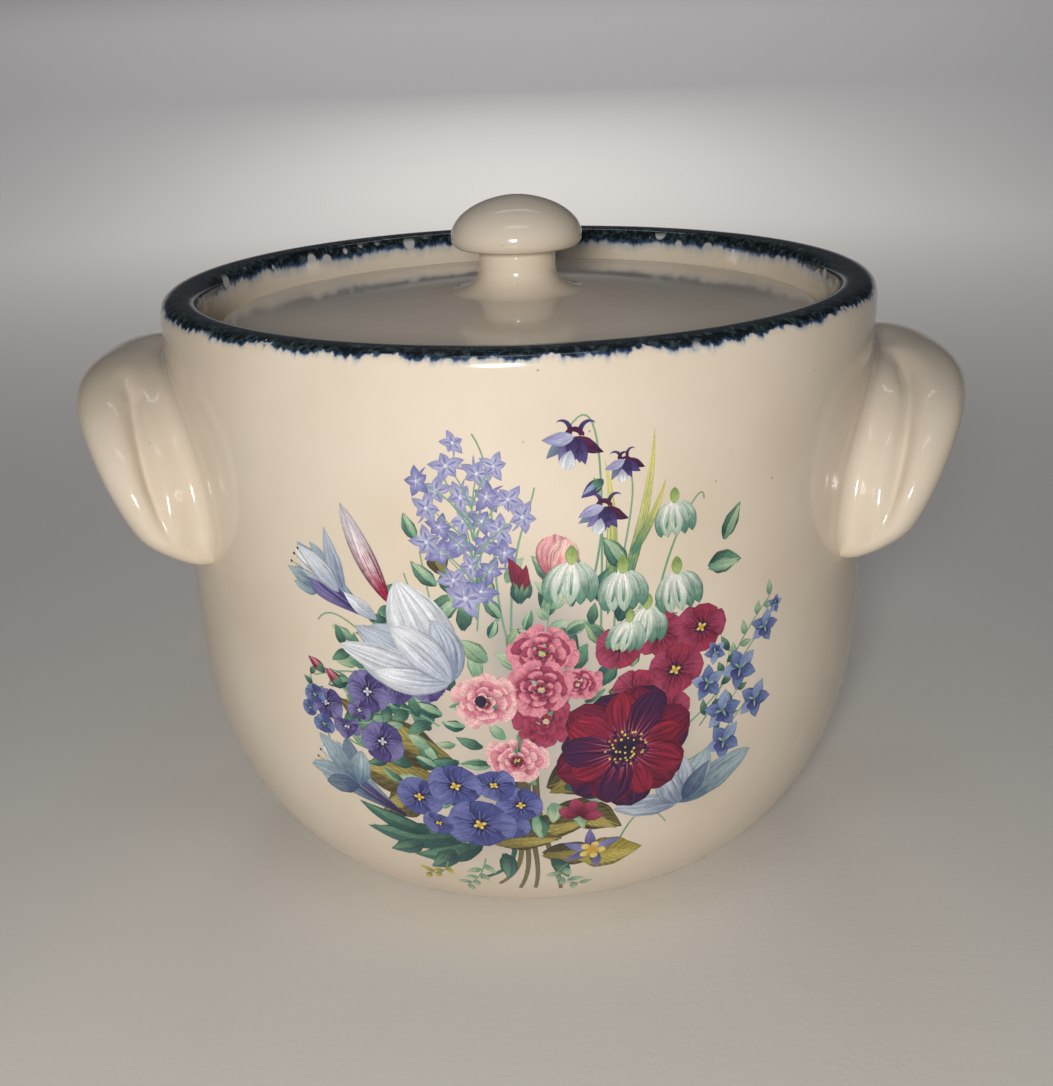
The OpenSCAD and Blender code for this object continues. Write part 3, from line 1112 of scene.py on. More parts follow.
    def trumpet(self, at: Spot, heading: float, length: float, tube: Ink, lobe: Ink) -> None:
        """Draws a trumpet lily from the side: a tapering tube that opens into turned-back lobes."""
        mouth = (
            at[0] + length * 0.66 * math.cos(math.radians(heading)),
            at[1] + length * 0.66 * math.sin(math.radians(heading))
        )
        for turn, grow in ((62, 0.42), (-66, 0.4), (30, 0.46), (-34, 0.45)):
            self.petal(
                mouth, heading + turn, length * grow, length * 0.1, lobe, Outline.POINTED, -turn * 0.9, 0.06
            )
        for turn, ink in ((-9, tube), (9, lobe), (0, tube)):
            self.petal(at, heading + turn, length * 0.8, length * 0.11, ink, Outline.FAN, -turn)
        for turn in (-7, 2, 8):
            self.petal(at, heading + turn, length * 0.7, length * 0.016, self.purple, Outline.STEM, -turn)
        self.petal(mouth, heading + 4, length * 0.44, length * 0.1, self.white, Outline.POINTED, 20, 0.05)
        for turn in (-12, 2, 14):
            tip = self.petal(mouth, heading + turn, length * 0.4, 0.1, self.olive_light, Outline.STEM)
            self.dot(tip, 0.28, self.olive_dark)

    def foliage(self) -> None:
        """Draws the stems and leaves behind the flowers."""
        for x0, x1, low in ((-4, -3.5, 12), (0, 0.5, 13), (2, 3, 13), (4, 6.5, 15), (6, 9.5, 17)):
            self.stem(
                [(x0 * 0.3 + 1, 48), (x0 * 0.5 + 1, 34), (x0 * 0.8, 24), (x1 + x0 * 0.4, low)], 1.3,
                self.stem_olive if x0 < 5 else self.teal_green
            )
        for points in (
            [(-14, 66), (-15, 80), (-17, 92), (-16.5, 99)],
            [(-12, 70), (-11.5, 84), (-13, 98), (-10, 107.5), (-7, 106)],
            [(-10, 78), (-12, 88), (-12, 94), (-11, 98)], [(2, 66), (5, 80), (5.5, 95), (8, 106)],
            [(3, 70), (2, 84), (0, 92), (-1.5, 97)], [(5, 74), (9, 86), (11, 94), (14, 101)],
            [(14, 66), (16, 76), (17.5, 86)], [(15, 66), (18, 74), (20.5, 82)],
            [(-18, 52), (-26, 50), (-36, 58), (-44, 66)], [(-20, 46), (-30, 44), (-38, 50), (-42, 53)],
            [(-16, 40), (-24, 34), (-30, 38)], [(18, 58), (27, 62), (34, 62), (40, 60)],
            [(22, 52), (32, 48), (40, 54), (41, 58)], [(-21, 72), (-24, 84), (-28, 92), (-30, 92)],
            [(15, 60), (24, 66), (32, 72), (38, 71)], [(-16, 28), (-20, 34), (-25, 30)]
        ):
            self.stem(points, 0.42, self.stem_green)
        for at, heading, length, half in (
            ((-15, 76), 108, 30, 0.95), ((-13, 74), 96, 27, 1.0), ((-17, 84), 122, 14, 0.8)
        ):
            self.petal(at, heading, length, half, Ink("#4f8468", "#d6d07e", 0.6, 0.4), Outline.BLADE, -16)
        for at, heading, length, half, bend in (
            ((-6, 48), 172, 17, 4.2, -22), ((-2, 42), 158, 17, 4.4, -20), ((-4, 38), 205, 14, 3.6, 12),
            ((14, 46), 22, 24, 4.4, 12), ((16, 42), 2, 18, 4.2, 8), ((20, 40), 318, 11, 3.4, 20),
            ((4, 32), 176, 15, 3.2, -14), ((-1, 26), 188, 14, 3.4, 10), ((8, 29), 172, 13, 2.8, 12),
            ((-13, 60), 196, 10, 2.6, 10), ((14, 82), 74, 6, 1.8, 10)
        ):
            self.leaf(at, heading, length, half, self.olive_dark, self.olive_light, bend)
        self.leaf(
            (-8, 24.5), 184, 13, 4.6, Ink("#7d7234", "#a2973f", 0.4, 0.55, 0.7),
            Ink("#a79a43", "#c4b55c", 0.4, 0.45, 0.7), -8
        )
        for at, heading, length, half, bend in (
            ((12, 31), 344, 22, 3.4, 26), ((10, 28), 330, 16, 2.8, 30), ((20, 30), 12, 15, 2.2, 22),
            ((16, 26), 300, 9, 2.2, 30), ((6, 26), 262, 9, 1.8, 20), ((-3, 24), 236, 8, 1.6, 20),
            ((22, 27), 330, 9, 2.0, 10)
        ):
            self.leaf(at, heading, length, half, self.teal_green, self.leaf_green, bend)
        for at, heading, length, half in (
            ((-34, 84), 118, 7, 1.5), ((-31, 80), 176, 7, 2.1), ((-16, 82), 60, 7, 1.7),
            ((-5, 80), 52, 7, 1.4), ((-2, 76), 108, 9, 1.4), ((16, 74), 130, 7, 2.0), ((15, 80), 40, 6, 1.4),
            ((23, 70), 80, 6, 1.6), ((21, 56), 20, 8, 1.8), ((25, 54), 348, 9, 1.8), ((17, 58), 300, 7, 1.6),
            ((6, 78), 70, 6, 1.4), ((-2, 70), 20, 6, 1.6), ((-20, 70), 150, 6, 1.6), ((31, 58), 40, 7, 1.3),
            ((4, 56), 60, 5, 1.4), ((17, 46), 60, 6, 1.7), ((18, 88), 60, 5, 1.2)
        ):
            self.leaf(at, heading, length, half, self.leaf_green, self.pale_green, self.rng.uniform(-20, 20))
        greens = (self.leaf_green, self.teal_green, self.pale_green, Ink("#5d7f63", "#9db58d", 0.5, 0.5, 0.3))
        for i in range(120):
            turn, reach = i * GOLDEN, math.sqrt((i + 6) / 126)
            at = (4 + 30 * reach * math.cos(turn), 58 + 24 * reach * math.sin(turn))
            if at[0] < -14 and at[1] < 62:
                continue
            away = math.degrees(math.atan2(at[1] - 42, at[0]))
            size = self.rng.uniform(3.6, 6.4)
            self.leaf(
                at, away + self.rng.uniform(-55, 55), size, size * self.rng.uniform(0.2, 0.3),
                self.rng.choice(greens), self.rng.choice(greens[::2]), self.rng.uniform(-30, 30)
            )
        gold = Ink("#8a8a3a", "#d2c55e", 0.4, 0.4)
        for points, leaflets, size, ink in (
            ([(20, 60), (27, 64), (33, 67)], 8, 4.2, self.leaf_green),
            ([(22, 78), (24, 73), (30, 67)], 8, 3.6, self.leaf_green),
            ([(16, 54), (24, 57), (32, 55)], 9, 4.6, self.leaf_green),
            ([(-36, 60), (-40, 66), (-45, 71)], 7, 3.0, self.pale_green),
            ([(-30, 50), (-34, 56), (-36, 63)], 7, 3.2, self.leaf_green),
            ([(-36, 42), (-34, 48), (-38, 55)], 6, 2.8, self.leaf_green),
            ([(38, 48), (40, 54), (41, 60)], 6, 2.6, self.leaf_green),
            ([(-6, 22), (-4, 17), (-9, 14)], 7, 3.6, self.pale_green),
            ([(10, 24), (12, 18), (15, 14)], 7, 3.4, self.pale_green),
            ([(18, 22), (20, 18), (23, 17)], 5, 3.0, gold),
            ([(-4, 66), (-3, 72), (-4, 80)], 8, 3.6, self.pale_green)
        ):
            self.spray(points, leaflets, size, ink)

    def spikes(self) -> None:
        """Draws the tall flowers at the back: lilac spikes, the nodding dark ones and the lilies."""
        self.move(-3, -2)
        for i in range(23):
            turn = i * GOLDEN + 0.5
            reach = math.sqrt((i + 0.3) / 23)
            at = (
                6.4 + (9.2 + 2 * math.sin(turn)) * reach * math.cos(turn) + self.rng.uniform(-0.7, 0.7),
                92.8 + 12.6 * reach * math.sin(turn)
            )
            self.stem([(5.6, at[1] - 7), ((5.6 + at[0]) / 2, at[1] - 2.5), at], 0.3, self.stem_green)
            self.star(at, self.rng.uniform(2.5, 3.3), self.rng.uniform(0, 360))
        self.star((7.2, 80), 3.9, 250)
        self.star((8, 106.5), 2.3, 80)
        self.move(-6, -8)
        self.petal((17.3, 84), 62, 19, 2.0, Ink("#7c1238", "#cfc7cf", 0.9, 0.5), Outline.OVAL, 8)
        self.petal((17.6, 84.5), 62, 15, 0.9, Ink("#9b1f46", "#e9e1e4", 0.9, 0.2), Outline.POINTED, 8)
        self.trumpet((20.3, 80.5), 32, 17.5, self.purple_lit, self.dusk)
        self.petal((26, 85), 72, 12, 1.6, self.white_shade, Outline.POINTED, 10, 0.04)
        self.petal((27, 85), 50, 11, 1.9, self.white, Outline.POINTED, -20, 0.05)
        self.move(0, 0)
        for at, size, lean in (((-8, 105), 4.4, 6), ((-16, 100.5), 3.0, -14), ((-12.6, 93), 3.8, 4)):
            self.columbine(at, size, lean)
        self.bud((-12.5, 97.6), 322, 4.6, 1.15, self.purple, self.bell_pale)

    def reds_and_bells(self) -> None:
        """Draws the dark red flowers, the hanging white bells and the blue bells."""
        self.move(0, -14)
        for at, size in (
            ((-30, 83), 5.2), ((-22, 83.5), 5.0), ((-25, 76), 5.6), ((-15, 82), 4.6), ((-24, 68.5), 4.4),
            ((-18, 73), 5.0)
        ):
            self.open_flower(at, size, self.maroon, self.rose_deep, self.yellow, 0.9)
        self.move(-4, 1)
        self.petal((-9, 79), 84, 9, 3.2, Ink("#8f1f3f", "#e0a2a8", 0.8, 0.4), Outline.ROUND, 8)
        self.petal((-8, 79), 112, 8.4, 2.6, Ink("#b13a50", "#f0c3bd", 0.8, 0.35), Outline.ROUND, -12)
        self.ring((-8.6, 78.5), 5, 3.0, 0.35, self.yellow, Outline.POINTED, 20)
        wine = Ink("#4a1030", "#7b1a3c", 0.7, 0.5)
        self.bud((-4.2, 77), 66, 8, 1.5, wine, self.crimson_lit)
        self.bud((-2.5, 76.5), 102, 6.6, 1.2, wine, self.crimson_lit)
        self.move(-5, 1)
        for at, size, lean in (
            ((-29.5, 91.5), 3.9, -6), ((-25, 73.5), 4.2, 8), ((-30, 79), 4.6, -10), ((-20.6, 80.6), 4.5, -2),
            ((-12.2, 83), 4.8, 4), ((-22, 71.5), 3.6, 16)
        ):
            self.snow_bell(at, size, lean)
        self.move(0, 0)
        for at, size, lean in (
            ((-44, 65.5), 3.4, 250), ((-38.5, 59), 4.2, 280), ((-42.2, 51.8), 4.0, 262),
            ((-31.6, 58), 3.6, 300), ((-34.9, 51.8), 4.1, 240), ((-35.5, 45.4), 4.2, 275),
            ((-30, 36.6), 3.2, 260), ((-33, 63.5), 2.4, 70), ((-46.5, 69), 1.9, 100)
        ):
            self.blue_bell(at, size, lean)

    def purples_and_roses(self) -> None:
        """Draws the purple flowers, the pink roses and the blue-grey lily."""
        self.move(0, -15)
        for at, size, squash in (
            ((18.5, 77.4), 5.4, 0.55), ((23.5, 75.5), 4.0, 0.7), ((29, 74), 4.6, 0.95),
            ((38.1, 70), 3.9, 0.8), ((33.9, 66.2), 3.4, 0.45), ((26.9, 64.6), 4.6, 0.95), ((31, 70), 2.6, 0.7)
        ):
            self.open_flower(at, size, self.purple, self.purple_lit, self.white, squash)
        self.move(0, 0)
        self.bud((34, 59), 40, 4.6, 1.2, self.rose_deep, self.rose_mid)
        self.bud((37.5, 61), 34, 4.4, 1.1, self.maroon, self.rose_mid)
        self.bud((24, 68.8), 84, 3.4, 1.1, self.yellow, self.rose_mid)
        for at, size in (((40.5, 56), 2.5), ((39, 50.5), 2.6), ((42, 53), 2.0)):
            self.open_flower(at, size, self.violet, self.bell_blue, self.pale_green, 0.8)
        self.trumpet((24, 33.5), 33, 19, self.dusk_dark, self.dusk)
        for heading, length, ink in (
            (84, 10, self.dusk_dark), (58, 12, self.dusk), (20, 11, self.dusk), (-12, 8, self.dusk_dark),
            (104, 8, self.dusk)
        ):
            self.petal((33, 39), heading, length, 2.1, ink, Outline.OVAL, self.rng.uniform(-40, 10), 0.05)
        self.move(12, -5)
        for at, size, outer, inner, squash in (
            ((9.9, 60.6), 6.0, self.rose_deep, self.maroon, 0.85),
            ((4, 67), 4.0, self.rose_mid, self.rose_deep, 0.8),
            ((10, 73.3), 6.6, self.rose_mid, self.rose_deep, 0.68),
            ((10.6, 66.6), 6.3, self.rose_mid, self.rose_deep, 0.85),
            ((19.8, 64.2), 5.8, self.rose_pale, self.rose_mid, 0.92)
        ):
            self.rose(at, size, outer, inner, squash)
        self.dot((20.6, 64.2), 1.1, self.night)
        self.rose((14.8, 53), 6.2, self.rose_pale, self.rose_mid, 0.72)
        self.bud((3.6, 51), 36, 4.4, 1.6, self.rose_mid, self.rose_pale)

    def foreground(self) -> None:
        """Draws the pale petals, the violets, the large dark flower and the white one."""
        self.move(7, -2)
        for heading, length, half in (
            (150, 17, 3.4), (118, 12, 3.2), (92, 11, 2.8), (12, 13, 2.6), (60, 9, 2.6)
        ):
            self.petal(
                (-20, 36), heading, length, half, self.dusk if heading > 100 else self.white_shade,
                Outline.OVAL, self.rng.uniform(-18, 18), 0.04
            )
        self.petal((-21, 36.5), 116, 9, 2.0, self.dusk_dark, Outline.POINTED, 14)
        self.move(-14, -4)
        for heading, ink in (
            (150, self.lilac), (78, self.purple_lit), (20, self.lilac), (330, self.purple_lit),
            (250, self.purple_lit)
        ):
            self.petal((-24.7, 29.6), heading, 6.2, 1.1, ink, Outline.POINTED, 14)
        self.ring((-24.7, 29.6), 5, 2.6, 0.8, self.yellow, Outline.ROUND, 40)
        self.move(0, 0)
        for heading in (70, 130, 180, 20):
            self.petal((-8, 35), heading, 4.4, 1.3, self.rose_deep, Outline.OVAL, 20)
        for at, size, squash in (
            ((2.6, 38.2), 4.6, 0.8), ((7.1, 42.6), 4.4, 0.7), ((21, 38.8), 5.0, 0.9), ((14, 42), 5.4, 0.8),
            ((4.6, 33), 4.2, 0.8), ((10.2, 33.4), 6.8, 0.85), ((18, 33), 3.6, 0.7)
        ):
            self.open_flower(at, size, self.violet, self.violet_lit, self.yellow, squash)
        self.move(4, -14)
        self.anemone((-12.2, 62.4), 12.4)
        self.move(-20, 17)
        for heading, length, half, ink, bend in (
            (40, 17, 3.6, self.white_shade, -18), (4, 17, 3.6, self.white_shade, 14),
            (62, 20, 5.6, self.white, 6), (26, 19, 3.3, self.white_shade, 4), (14, 21, 3.0, self.white, -2),
            (-6, 14, 2.6, self.white, 22), (92, 12, 3.0, self.white_shade, -40),
            (52, 14, 3.4, self.white, -24)
        ):
            self.petal((-6.5, 45.5), heading, length, half, ink, Outline.OVAL, bend, 0.02)
        self.petal((6, 56), 32, 7.5, 1.4, self.white, Outline.POINTED, 8)

    def draw(self) -> list[Petal]:
        """Draws the whole bouquet and gives its shapes, the hindmost first."""
        for part in (self.foliage, self.spikes, self.reds_and_bells, self.purples_and_roses, self.foreground):
            part()
        return self.petals


@dataclass
class FlowerTransfer:
    """The bouquet printed on a transfer and fired onto the pot, under the same shine as the glaze."""

    wall: WallShape
    skin_mm: float = 0.05
    sheet_mm: float = 104.0
    grid_mm: float = 2.4
    unrolled_r: float = 69.6
    base_z: float = 1.2
    half_w_mm: float = 50.0
    low_mm: float = 6.0
    high_mm: float = 112.0
    wash: str = "#8d8e93"
    wash_most: float = 0.75
    wash_least: float = 0.012

    # Each soft spot of the wash: its middle, how far it spreads and how dense it is.
    wash_spots = ((0, 71, 7, 0.6), (-20, 56, 5, 0.4), (22, 55, 6, 0.4), (-4, 40, 8, 0.5),
                  (4, 58, 10, 0.5), (20, 44, 6, 0.3), (-10, 30, 6, 0.3), (30, 41, 5, 0.2))
    # What is written on the mesh for the shader: colours, the place in a petal, its marks, and ink or wash.
    layers = ("ink_base", "ink_tip", "ink_place", "ink_marks", "ink_ground")

    def heights(self, path: Array) -> Array:
        """Gives the height of each distance up the curved wall from the foot."""
        z = np.linspace(self.base_z, self.wall.crock_h - 4, 1200)
        run = np.hypot(np.diff(z), np.diff(self.wall.outer_r(z)))
        return np.interp(path, np.concatenate([[0], np.cumsum(run)]), z)

    def washed(self, points: Array) -> Array:
        """Gives how dense the grey shadow wash behind the bouquet is at each point."""
        density = np.zeros(len(points))
        for x, y, spread, strength in self.wash_spots:
            beside = (points[:, 0] - x) ** 2 + (points[:, 1] - y) ** 2
            density += strength * np.exp(-beside / (2 * spread**2))
        return np.clip(density, 0, self.wash_most)

    def sheet(self, petals: list[Petal]) -> tuple[Array, Array, Array]:
        """Cuts the overlapping shapes into one flat layer.

        Args:
            petals: The shapes, the hindmost first.

        Returns:
            The layer's flat points, its triangles, and the number of the shape that shows in each, or -1.
        """
        points, edges = [], []
        for petal in petals:
            rim = petal.outline()
            first = len(points)
            points.extend(rim.tolist())
            edges.extend((first + i, first + (i + 1) % len(rim)) for i in range(len(rim)))
        across = np.arange(-self.half_w_mm, self.half_w_mm + 0.1, self.grid_mm)
        for k, y in enumerate(np.arange(self.low_mm, self.high_mm, self.grid_mm * 0.87)):
            points.extend((x + (self.grid_mm / 2 if k % 2 else 0), y) for x in across)
        cut = delaunay_2d_cdt([Vector(p) for p in points], edges, [], 0, 1e-4, False)
        flat, faces = np.array([tuple(p) for p in cut[0]]), np.array([f for f in cut[2] if len(f) == 3])
        middle = flat[faces].mean(1)
        shown = np.full(len(faces), -1)
        for number, petal in enumerate(petals):
            rim = petal.outline()
            near = np.flatnonzero(((middle >= rim.min(0)) & (middle <= rim.max(0))).all(1))
            x, y = middle[near, 0][:, None], middle[near, 1][:, None]
            (x0, y0), (x1, y1) = rim.T[:, None, :], np.roll(rim, -1, axis=0).T[:, None, :]
            with np.errstate(divide="ignore", invalid="ignore"):
                crossed = ((y0 > y) != (y1 > y)) & (x < (x1 - x0) * (y - y0) / (y1 - y0) + x0)
            shown[near[crossed.sum(1) % 2 == 1]] = number
        return flat, faces, shown

    def paint(
        self, mesh: bpy.types.Mesh, flat: Array, faces: Array, shown: Array, petals: list[Petal]
    ) -> None:
        """Writes the colours and the places within each petal onto the mesh's corners.

        Args:
            mesh: The transfer's mesh.
            flat: Its points on the flat sheet.
            faces: Its triangles.
            shown: The shape that shows in each.
            petals: The shapes.
        """
        corners = flat[faces].reshape(-1, 2)
        owner = np.repeat(shown, 3)
        layers = {name: np.ones((len(corners), 4)) for name in self.layers}
        layers["ink_marks"][:, :3] = 0
        layers["ink_ground"][:, :3] = np.column_stack(
            [(owner >= 0) * 1.0, self.washed(corners), np.zeros(len(corners))]
        )
        for number, petal in enumerate(petals):
            mine = np.flatnonzero(owner == number)
            if not len(mine):
                continue
            layers["ink_base"][mine] = linear(petal.ink.base)
            layers["ink_tip"][mine] = linear(petal.ink.tip)
            place = petal.place(corners[mine])
            layers["ink_place"][mine, :3] = np.column_stack(
                [place[:, 0], place[:, 1] / 2 + 0.5, np.full(len(mine), petal.seed)]
            )
            layers["ink_marks"][mine, :3] = (petal.ink.vein, petal.ink.rim, petal.ink.hatch)
        for name, values in layers.items():
            layer = mesh.color_attributes.new(name, "FLOAT_COLOR", "CORNER")
            layer.data.foreach_set("color", values.astype(np.float32).ravel())
        chart = mesh.uv_layers.new(name="OFBake")
        chart.data.foreach_set(
            "uv", ((corners + (self.sheet_mm / 2, -4)) / (self.sheet_mm + 4)).astype(np.float32).ravel()
        )

    def inks(self, glaze: CreamGlaze) -> Material:
        """Makes the fired colours: gradients, veins, hatching and stipple, fading into the bare glaze."""
        # Overglaze enamel printed in fine dots: soft colour under the same wet shine as the cream.
        made, tree = new_material("fired_enamel_transfer")
        place_mm = glaze.place_mm(tree)
        layer = {name: put(tree, "Attribute", out="Color", attribute_name=name) for name in self.layers}
        place, marks, ground = (
            put(tree, "SeparateColor", {0: layer[name]}).node.outputs for name in self.layers[2:]
        )
        across = put(tree, "MapRange", {0: place[1], 3: -1.0, 4: 1.0})
        outward = put(tree, "Math", {0: across}, operation="ABSOLUTE")
        blot = put(tree, "TexNoise", {"Vector": place_mm, "Scale": 0.8, "Detail": 3.0})
        run = put(tree, "Math", {0: blot, 1: 0.5, 2: place[0]}, operation="MULTIPLY_ADD")
        fade = put(tree, "MapRange", {0: run, 1: 0.3, 2: 1.15}, interpolation_type="SMOOTHSTEP")
        colour = put(tree, "MixRGB", {0: fade, 1: layer["ink_base"], 2: layer["ink_tip"]})
        spread = put(tree, "CombineXYZ", {0: across, 1: place[0], 2: place[2]})
        strands = put(tree, "VectorMath", {0: spread, 1: (6.5, 1.3, 60.0)}, operation="MULTIPLY")
        veins = put(tree, "TexNoise", {"Vector": strands, "Scale": 1.0, "Detail": 3.0, "Roughness": 0.6})
        vein = put(tree, "MapRange", {0: veins, 1: 0.3, 2: 0.7, 3: -0.75, 4: 0.75})
        vein = put(tree, "Math", {0: vein, 1: marks[0], 2: 1.0}, operation="MULTIPLY_ADD")
        slant = put(tree, "Math", {0: outward, 1: -0.22, 2: place[0]}, operation="MULTIPLY_ADD")
        rows = put(tree, "Math", {0: slant, 1: 62.0}, operation="MULTIPLY")
        rows = put(tree, "Math", {0: rows}, operation="SINE")
        hatch = put(tree, "Math", {0: rows, 1: marks[2]}, operation="MULTIPLY")
        hatch = put(tree, "Math", {0: hatch, 1: 0.3, 2: 1.0}, operation="MULTIPLY_ADD")
        brim = put(tree, "Math", {0: outward, 1: 5.0}, operation="POWER")
        end = put(tree, "Math", {0: place[0], 1: 14.0}, operation="POWER")
        brim = put(tree, "Math", {0: brim, 1: end}, operation="MAXIMUM")
        brim = put(tree, "Math", {0: brim, 1: marks[1]}, operation="MULTIPLY")
        brim = put(tree, "MapRange", {0: brim, 3: 1.0, 4: 0.35})
        dots = put(tree, "TexNoise", {"Vector": place_mm, "Scale": 4.2, "Detail": 2.0})
        stipple = put(tree, "MapRange", {0: dots, 1: 0.25, 2: 0.75, 3: 0.84, 4: 1.16})
        value = vein
        for part in (hatch, brim, stipple):
            value = put(tree, "Math", {0: value, 1: part}, operation="MULTIPLY")
        shaded = put(tree, "VectorMath", {0: colour, "Scale": value}, operation="SCALE")
        bare = glaze.colour(tree, place_mm)
        washed = put(tree, "MixRGB", {0: ground[1], 1: bare, 2: linear(self.wash)})
        printed = put(tree, "MixRGB", {0: ground[0], 1: washed, 2: shaded})
        glaze.finish(tree, printed, glaze.relief(tree, place_mm), glaze.shine(tree, place_mm))
        return made

    def build(self, glaze: CreamGlaze) -> Piece:
        """Builds the transfer as one thin printed layer on the wall.

        Args:
            glaze: The glaze that it lies in.

        Returns:
            The transfer.
        """
        petals = Bouquet().draw()
        flat, faces, shown = self.sheet(petals)
        kept = (shown >= 0) | (self.washed(flat[faces].mean(1)) > self.wash_least)
        faces, shown = faces[kept], shown[kept]
        used, faces = np.unique(faces, return_inverse=True)
        flat, faces = flat[used], faces.reshape(-1, 3)
        angle, z = flat[:, 0] / self.unrolled_r - math.pi / 2, self.heights(flat[:, 1])
        piece = mesh_piece(
            "printed_flower_transfer", self.wall.point(angle, z, self.skin_mm), faces.tolist(),
            self.inks(glaze)
        )
        self.paint(piece.data, flat, faces, shown, petals)
        piece.data.normals_split_custom_set_from_vertices(self.wall.normal(angle, z).tolist())
        log.info("transfer: %d shapes in %d triangles", len(petals), len(faces))
        return piece


# ---------------------------------------------------------------- the studio


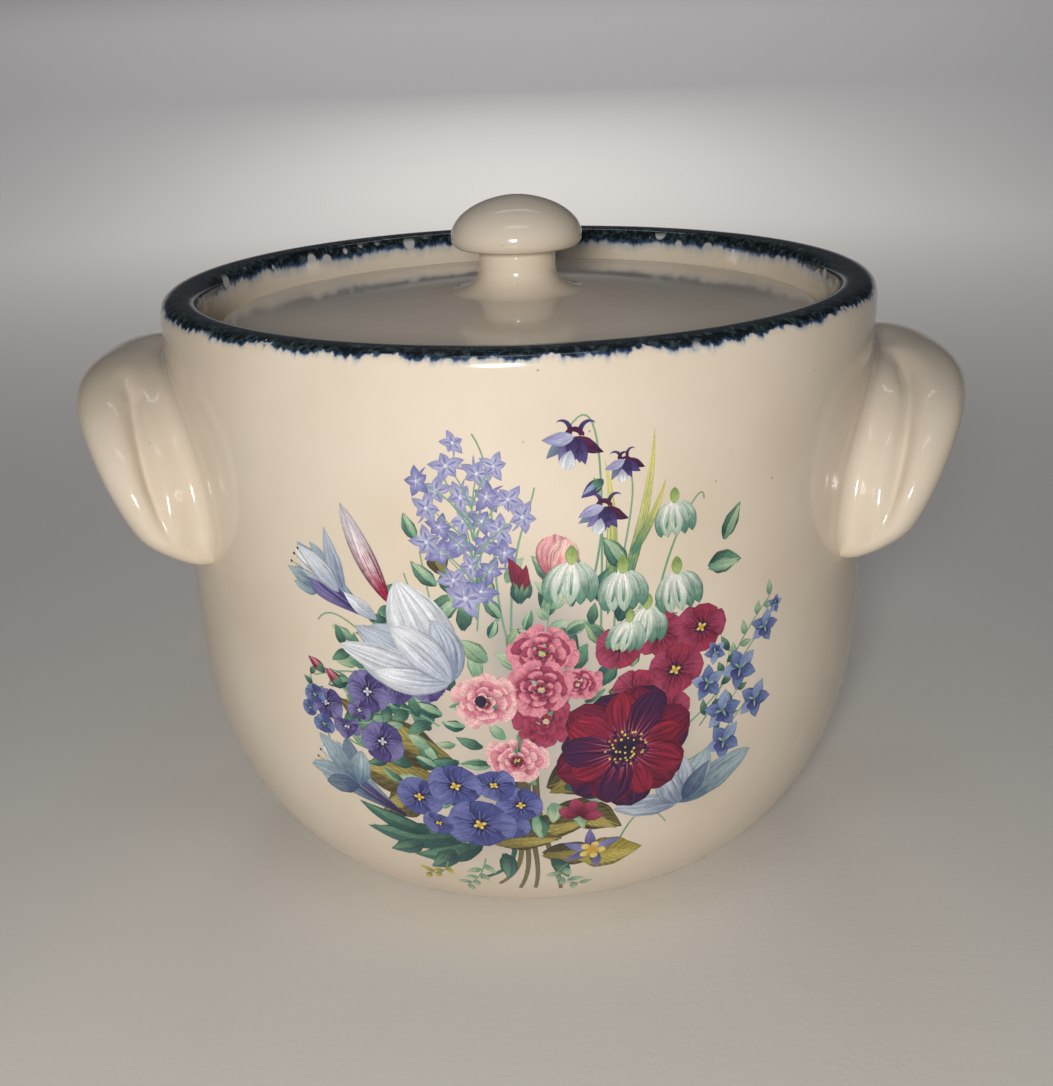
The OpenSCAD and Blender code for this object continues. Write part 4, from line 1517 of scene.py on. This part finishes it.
@dataclass
class Studio:
    """A pale sweep with painted shade on its upper part, soft light from beside the lens, and the camera."""

    paper: str = "#dedad3"
    # Painted shade: the dark grey that the paper turns to up the backdrop, standing in for a dim room.
    dusk: str = "#4c4d50"
    eye: tuple[float, float, float] = (0.0, -0.27116, 0.16005)
    aim: tuple[float, float, float] = (0.0, 0.0, 0.05643)
    lens: float = 44.73
    tilt: float = -1.893
    painted_shade_from: float = 0.16
    painted_shade_to: float = 0.31
    half_floor_mm: float = 3000.0
    behind_mm: float = 900.0
    bend_mm: float = 700.0
    top_mm: float = 3200.0

    def set_camera(self) -> None:
        """Places the camera at the eye of someone sitting over the table."""
        data = bpy.data.cameras.new("table_camera")
        data.lens, data.sensor_width = self.lens, 36.0
        data.clip_start, data.clip_end = 0.01, 50.0
        camera = bpy.data.objects.new("table_camera", data)
        bpy.context.scene.collection.objects.link(camera)
        look = (Vector(self.aim) - Vector(self.eye)).to_track_quat("-Z", "Y").to_matrix().to_4x4()
        camera.matrix_world = Matrix.Translation(self.eye) @ look @ Matrix.Rotation(
            math.radians(self.tilt), 4, "Z"
        )
        bpy.context.scene.camera = camera

    def lay_sweep(self) -> None:
        """Lays a pale paper sweep: a floor that curves up into a backdrop, painted dark grey higher up as
        painted shade.
        """
        # Matt paper: a pale ground with a faint pulp grain, and painted shade above: its colour turns dark
        # grey up the backdrop so the lid mirrors no glare.
        paper, tree = new_material("sweep_paper_painted_shade")
        place = put(tree, "TexCoord", out="Object")
        grain = put(tree, "TexNoise", {"Vector": place, "Scale": 900.0, "Detail": 2.0})
        relief = put(tree, "Bump", {"Height": grain, "Distance": 0.00005}, out="Normal")
        height = put(tree, "SeparateXYZ", {0: place}, out="Z")
        # Painted shade: between these heights the colour turns from the pale paper to the dark grey.
        fade = put(
            tree, "MapRange", {0: height, 1: self.painted_shade_from, 2: self.painted_shade_to}, interpolation_type="SMOOTHSTEP"
        )
        tone = put(tree, "MixRGB", {0: fade, 1: linear(self.paper), 2: linear(self.dusk)})
        sheet = put(tree, "BsdfPrincipled", {"Base Color": tone, "Normal": relief, "Roughness": 0.85})
        put(tree, "OutputMaterial", {"Surface": sheet})
        wide, back, r = self.half_floor_mm, self.behind_mm, self.bend_mm
        arc = [(back + r * math.sin(a), r - r * math.cos(a)) for a in np.linspace(0, math.pi / 2, 24)[1:]]
        bend = [(-wide, 0.0), (back, 0.0)] + arc + [(back + r, self.top_mm)]
        points = [(x, y, z) for y, z in bend for x in (-wide, wide)]
        faces = [(2 * i, 2 * i + 1, 2 * i + 3, 2 * i + 2) for i in range(len(bend) - 1)]
        sweep = mesh_piece("paper_sweep", np.array(points), faces, paper)

    def hang_light(self, name: str, at: tuple[float, float, float], size: Spot, watts: float, colour: str,
                   aim: tuple[float, float, float] = (0.0, 0.0, 0.07)) -> Piece:
        """Hangs one soft light.

        Args:
            name: Its name.
            at: Its place in metres.
            size: Its width and height in metres.
            watts: Its power.
            colour: Its colour.
            aim: What it faces.

        Returns:
            The light.
        """
        data = bpy.data.lights.new(name, "AREA")
        data.shape, (data.size, data.size_y) = "RECTANGLE", size
        data.energy, data.color = watts, linear(colour)[:3]
        lamp = bpy.data.objects.new(name, data)
        bpy.context.scene.collection.objects.link(lamp)
        lamp.location = at
        lamp.rotation_mode = "QUATERNION"
        lamp.rotation_quaternion = (Vector(aim) - Vector(at)).to_track_quat("-Z", "Y")
        return lamp

    def light(self) -> None:
        """Lights the pot: a soft key over the lens, weak fills above and behind, and a dim grey room."""
        self.hang_light("soft_key", (-0.04, -0.4, 0.2), (0.07, 0.07), 1.16, "#fffbf6")
        self.hang_light("window_fill", (0.02, -0.33, 1.0), (0.5, 0.13), 0.55, "#dfe9fb")
        self.hang_light("sweep_light", (0.0, 0.75, 1.5), (0.9, 0.9), 14.0, "#f4f6ff", (0.0, 2.0, 0.75))
        rear = self.hang_light("rear_fill", (0.0, 1.15, 0.42), (0.4, 0.25), 2.2, "#f6f4f2", (0.0, 0.0, 0.05))
        rear.visible_camera = rear.visible_glossy = False
        world = bpy.data.worlds.new("dim_room")
        world.use_nodes = True
        colour, strength = world.node_tree.nodes["Background"].inputs[:2]
        colour.default_value, strength.default_value = linear("#dfe4ea"), 0.05
        bpy.context.scene.world = world
        bpy.context.scene.view_settings.view_transform = "Standard"

    def set_up(self) -> None:
        """Makes the whole studio."""
        self.set_camera()
        self.lay_sweep()
        self.light()


def seat(piece: Piece, node: str, body: str) -> None:
    """Puts a finished piece on its body in place of its node, and reports it.

    Args:
        piece: The finished piece.
        node: The node it stands for.
        body: The body it moves with.
    """
    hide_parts(node)
    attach(piece, body)
    log.info("%s: %d faces, stands for %s, moves with %s", piece.name, len(piece.data.polygons), node, body)


def main() -> None:
    """Builds the studio and every piece."""
    logging.basicConfig(level=logging.INFO, format="%(name)s %(message)s")
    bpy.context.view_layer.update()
    Studio().set_up()
    low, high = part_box("crock_body")
    wall = WallShape(rim_r=(high.x - low.x) / 2 / MM, crock_h=high.z / MM)
    glaze = CreamGlaze()
    # Glazed stoneware without paint: handles, lid and knob take one plain coat.
    plain = glaze.material("cream_glazed_stoneware")
    seat(CrockBody(wall).build(glaze, RimBand()), "crock_body", "crock")
    seat(EarHandle(wall, Side.LEFT, drop=11.8).build(plain), "left_handle", "crock")
    seat(
        EarHandle(wall, Side.RIGHT, drop=14.6, groove_from=0.15, groove_curl=0.7).build(plain),
        "right_handle", "crock"
    )
    seat(FlowerTransfer(wall).build(glaze), "flower_transfer", "crock")
    plate, knob = SunkLid().build(plain)
    seat(plate, "lid", "lid")
    seat(knob, "lid_knob", "lid")


if __name__ == "__main__":
    main()
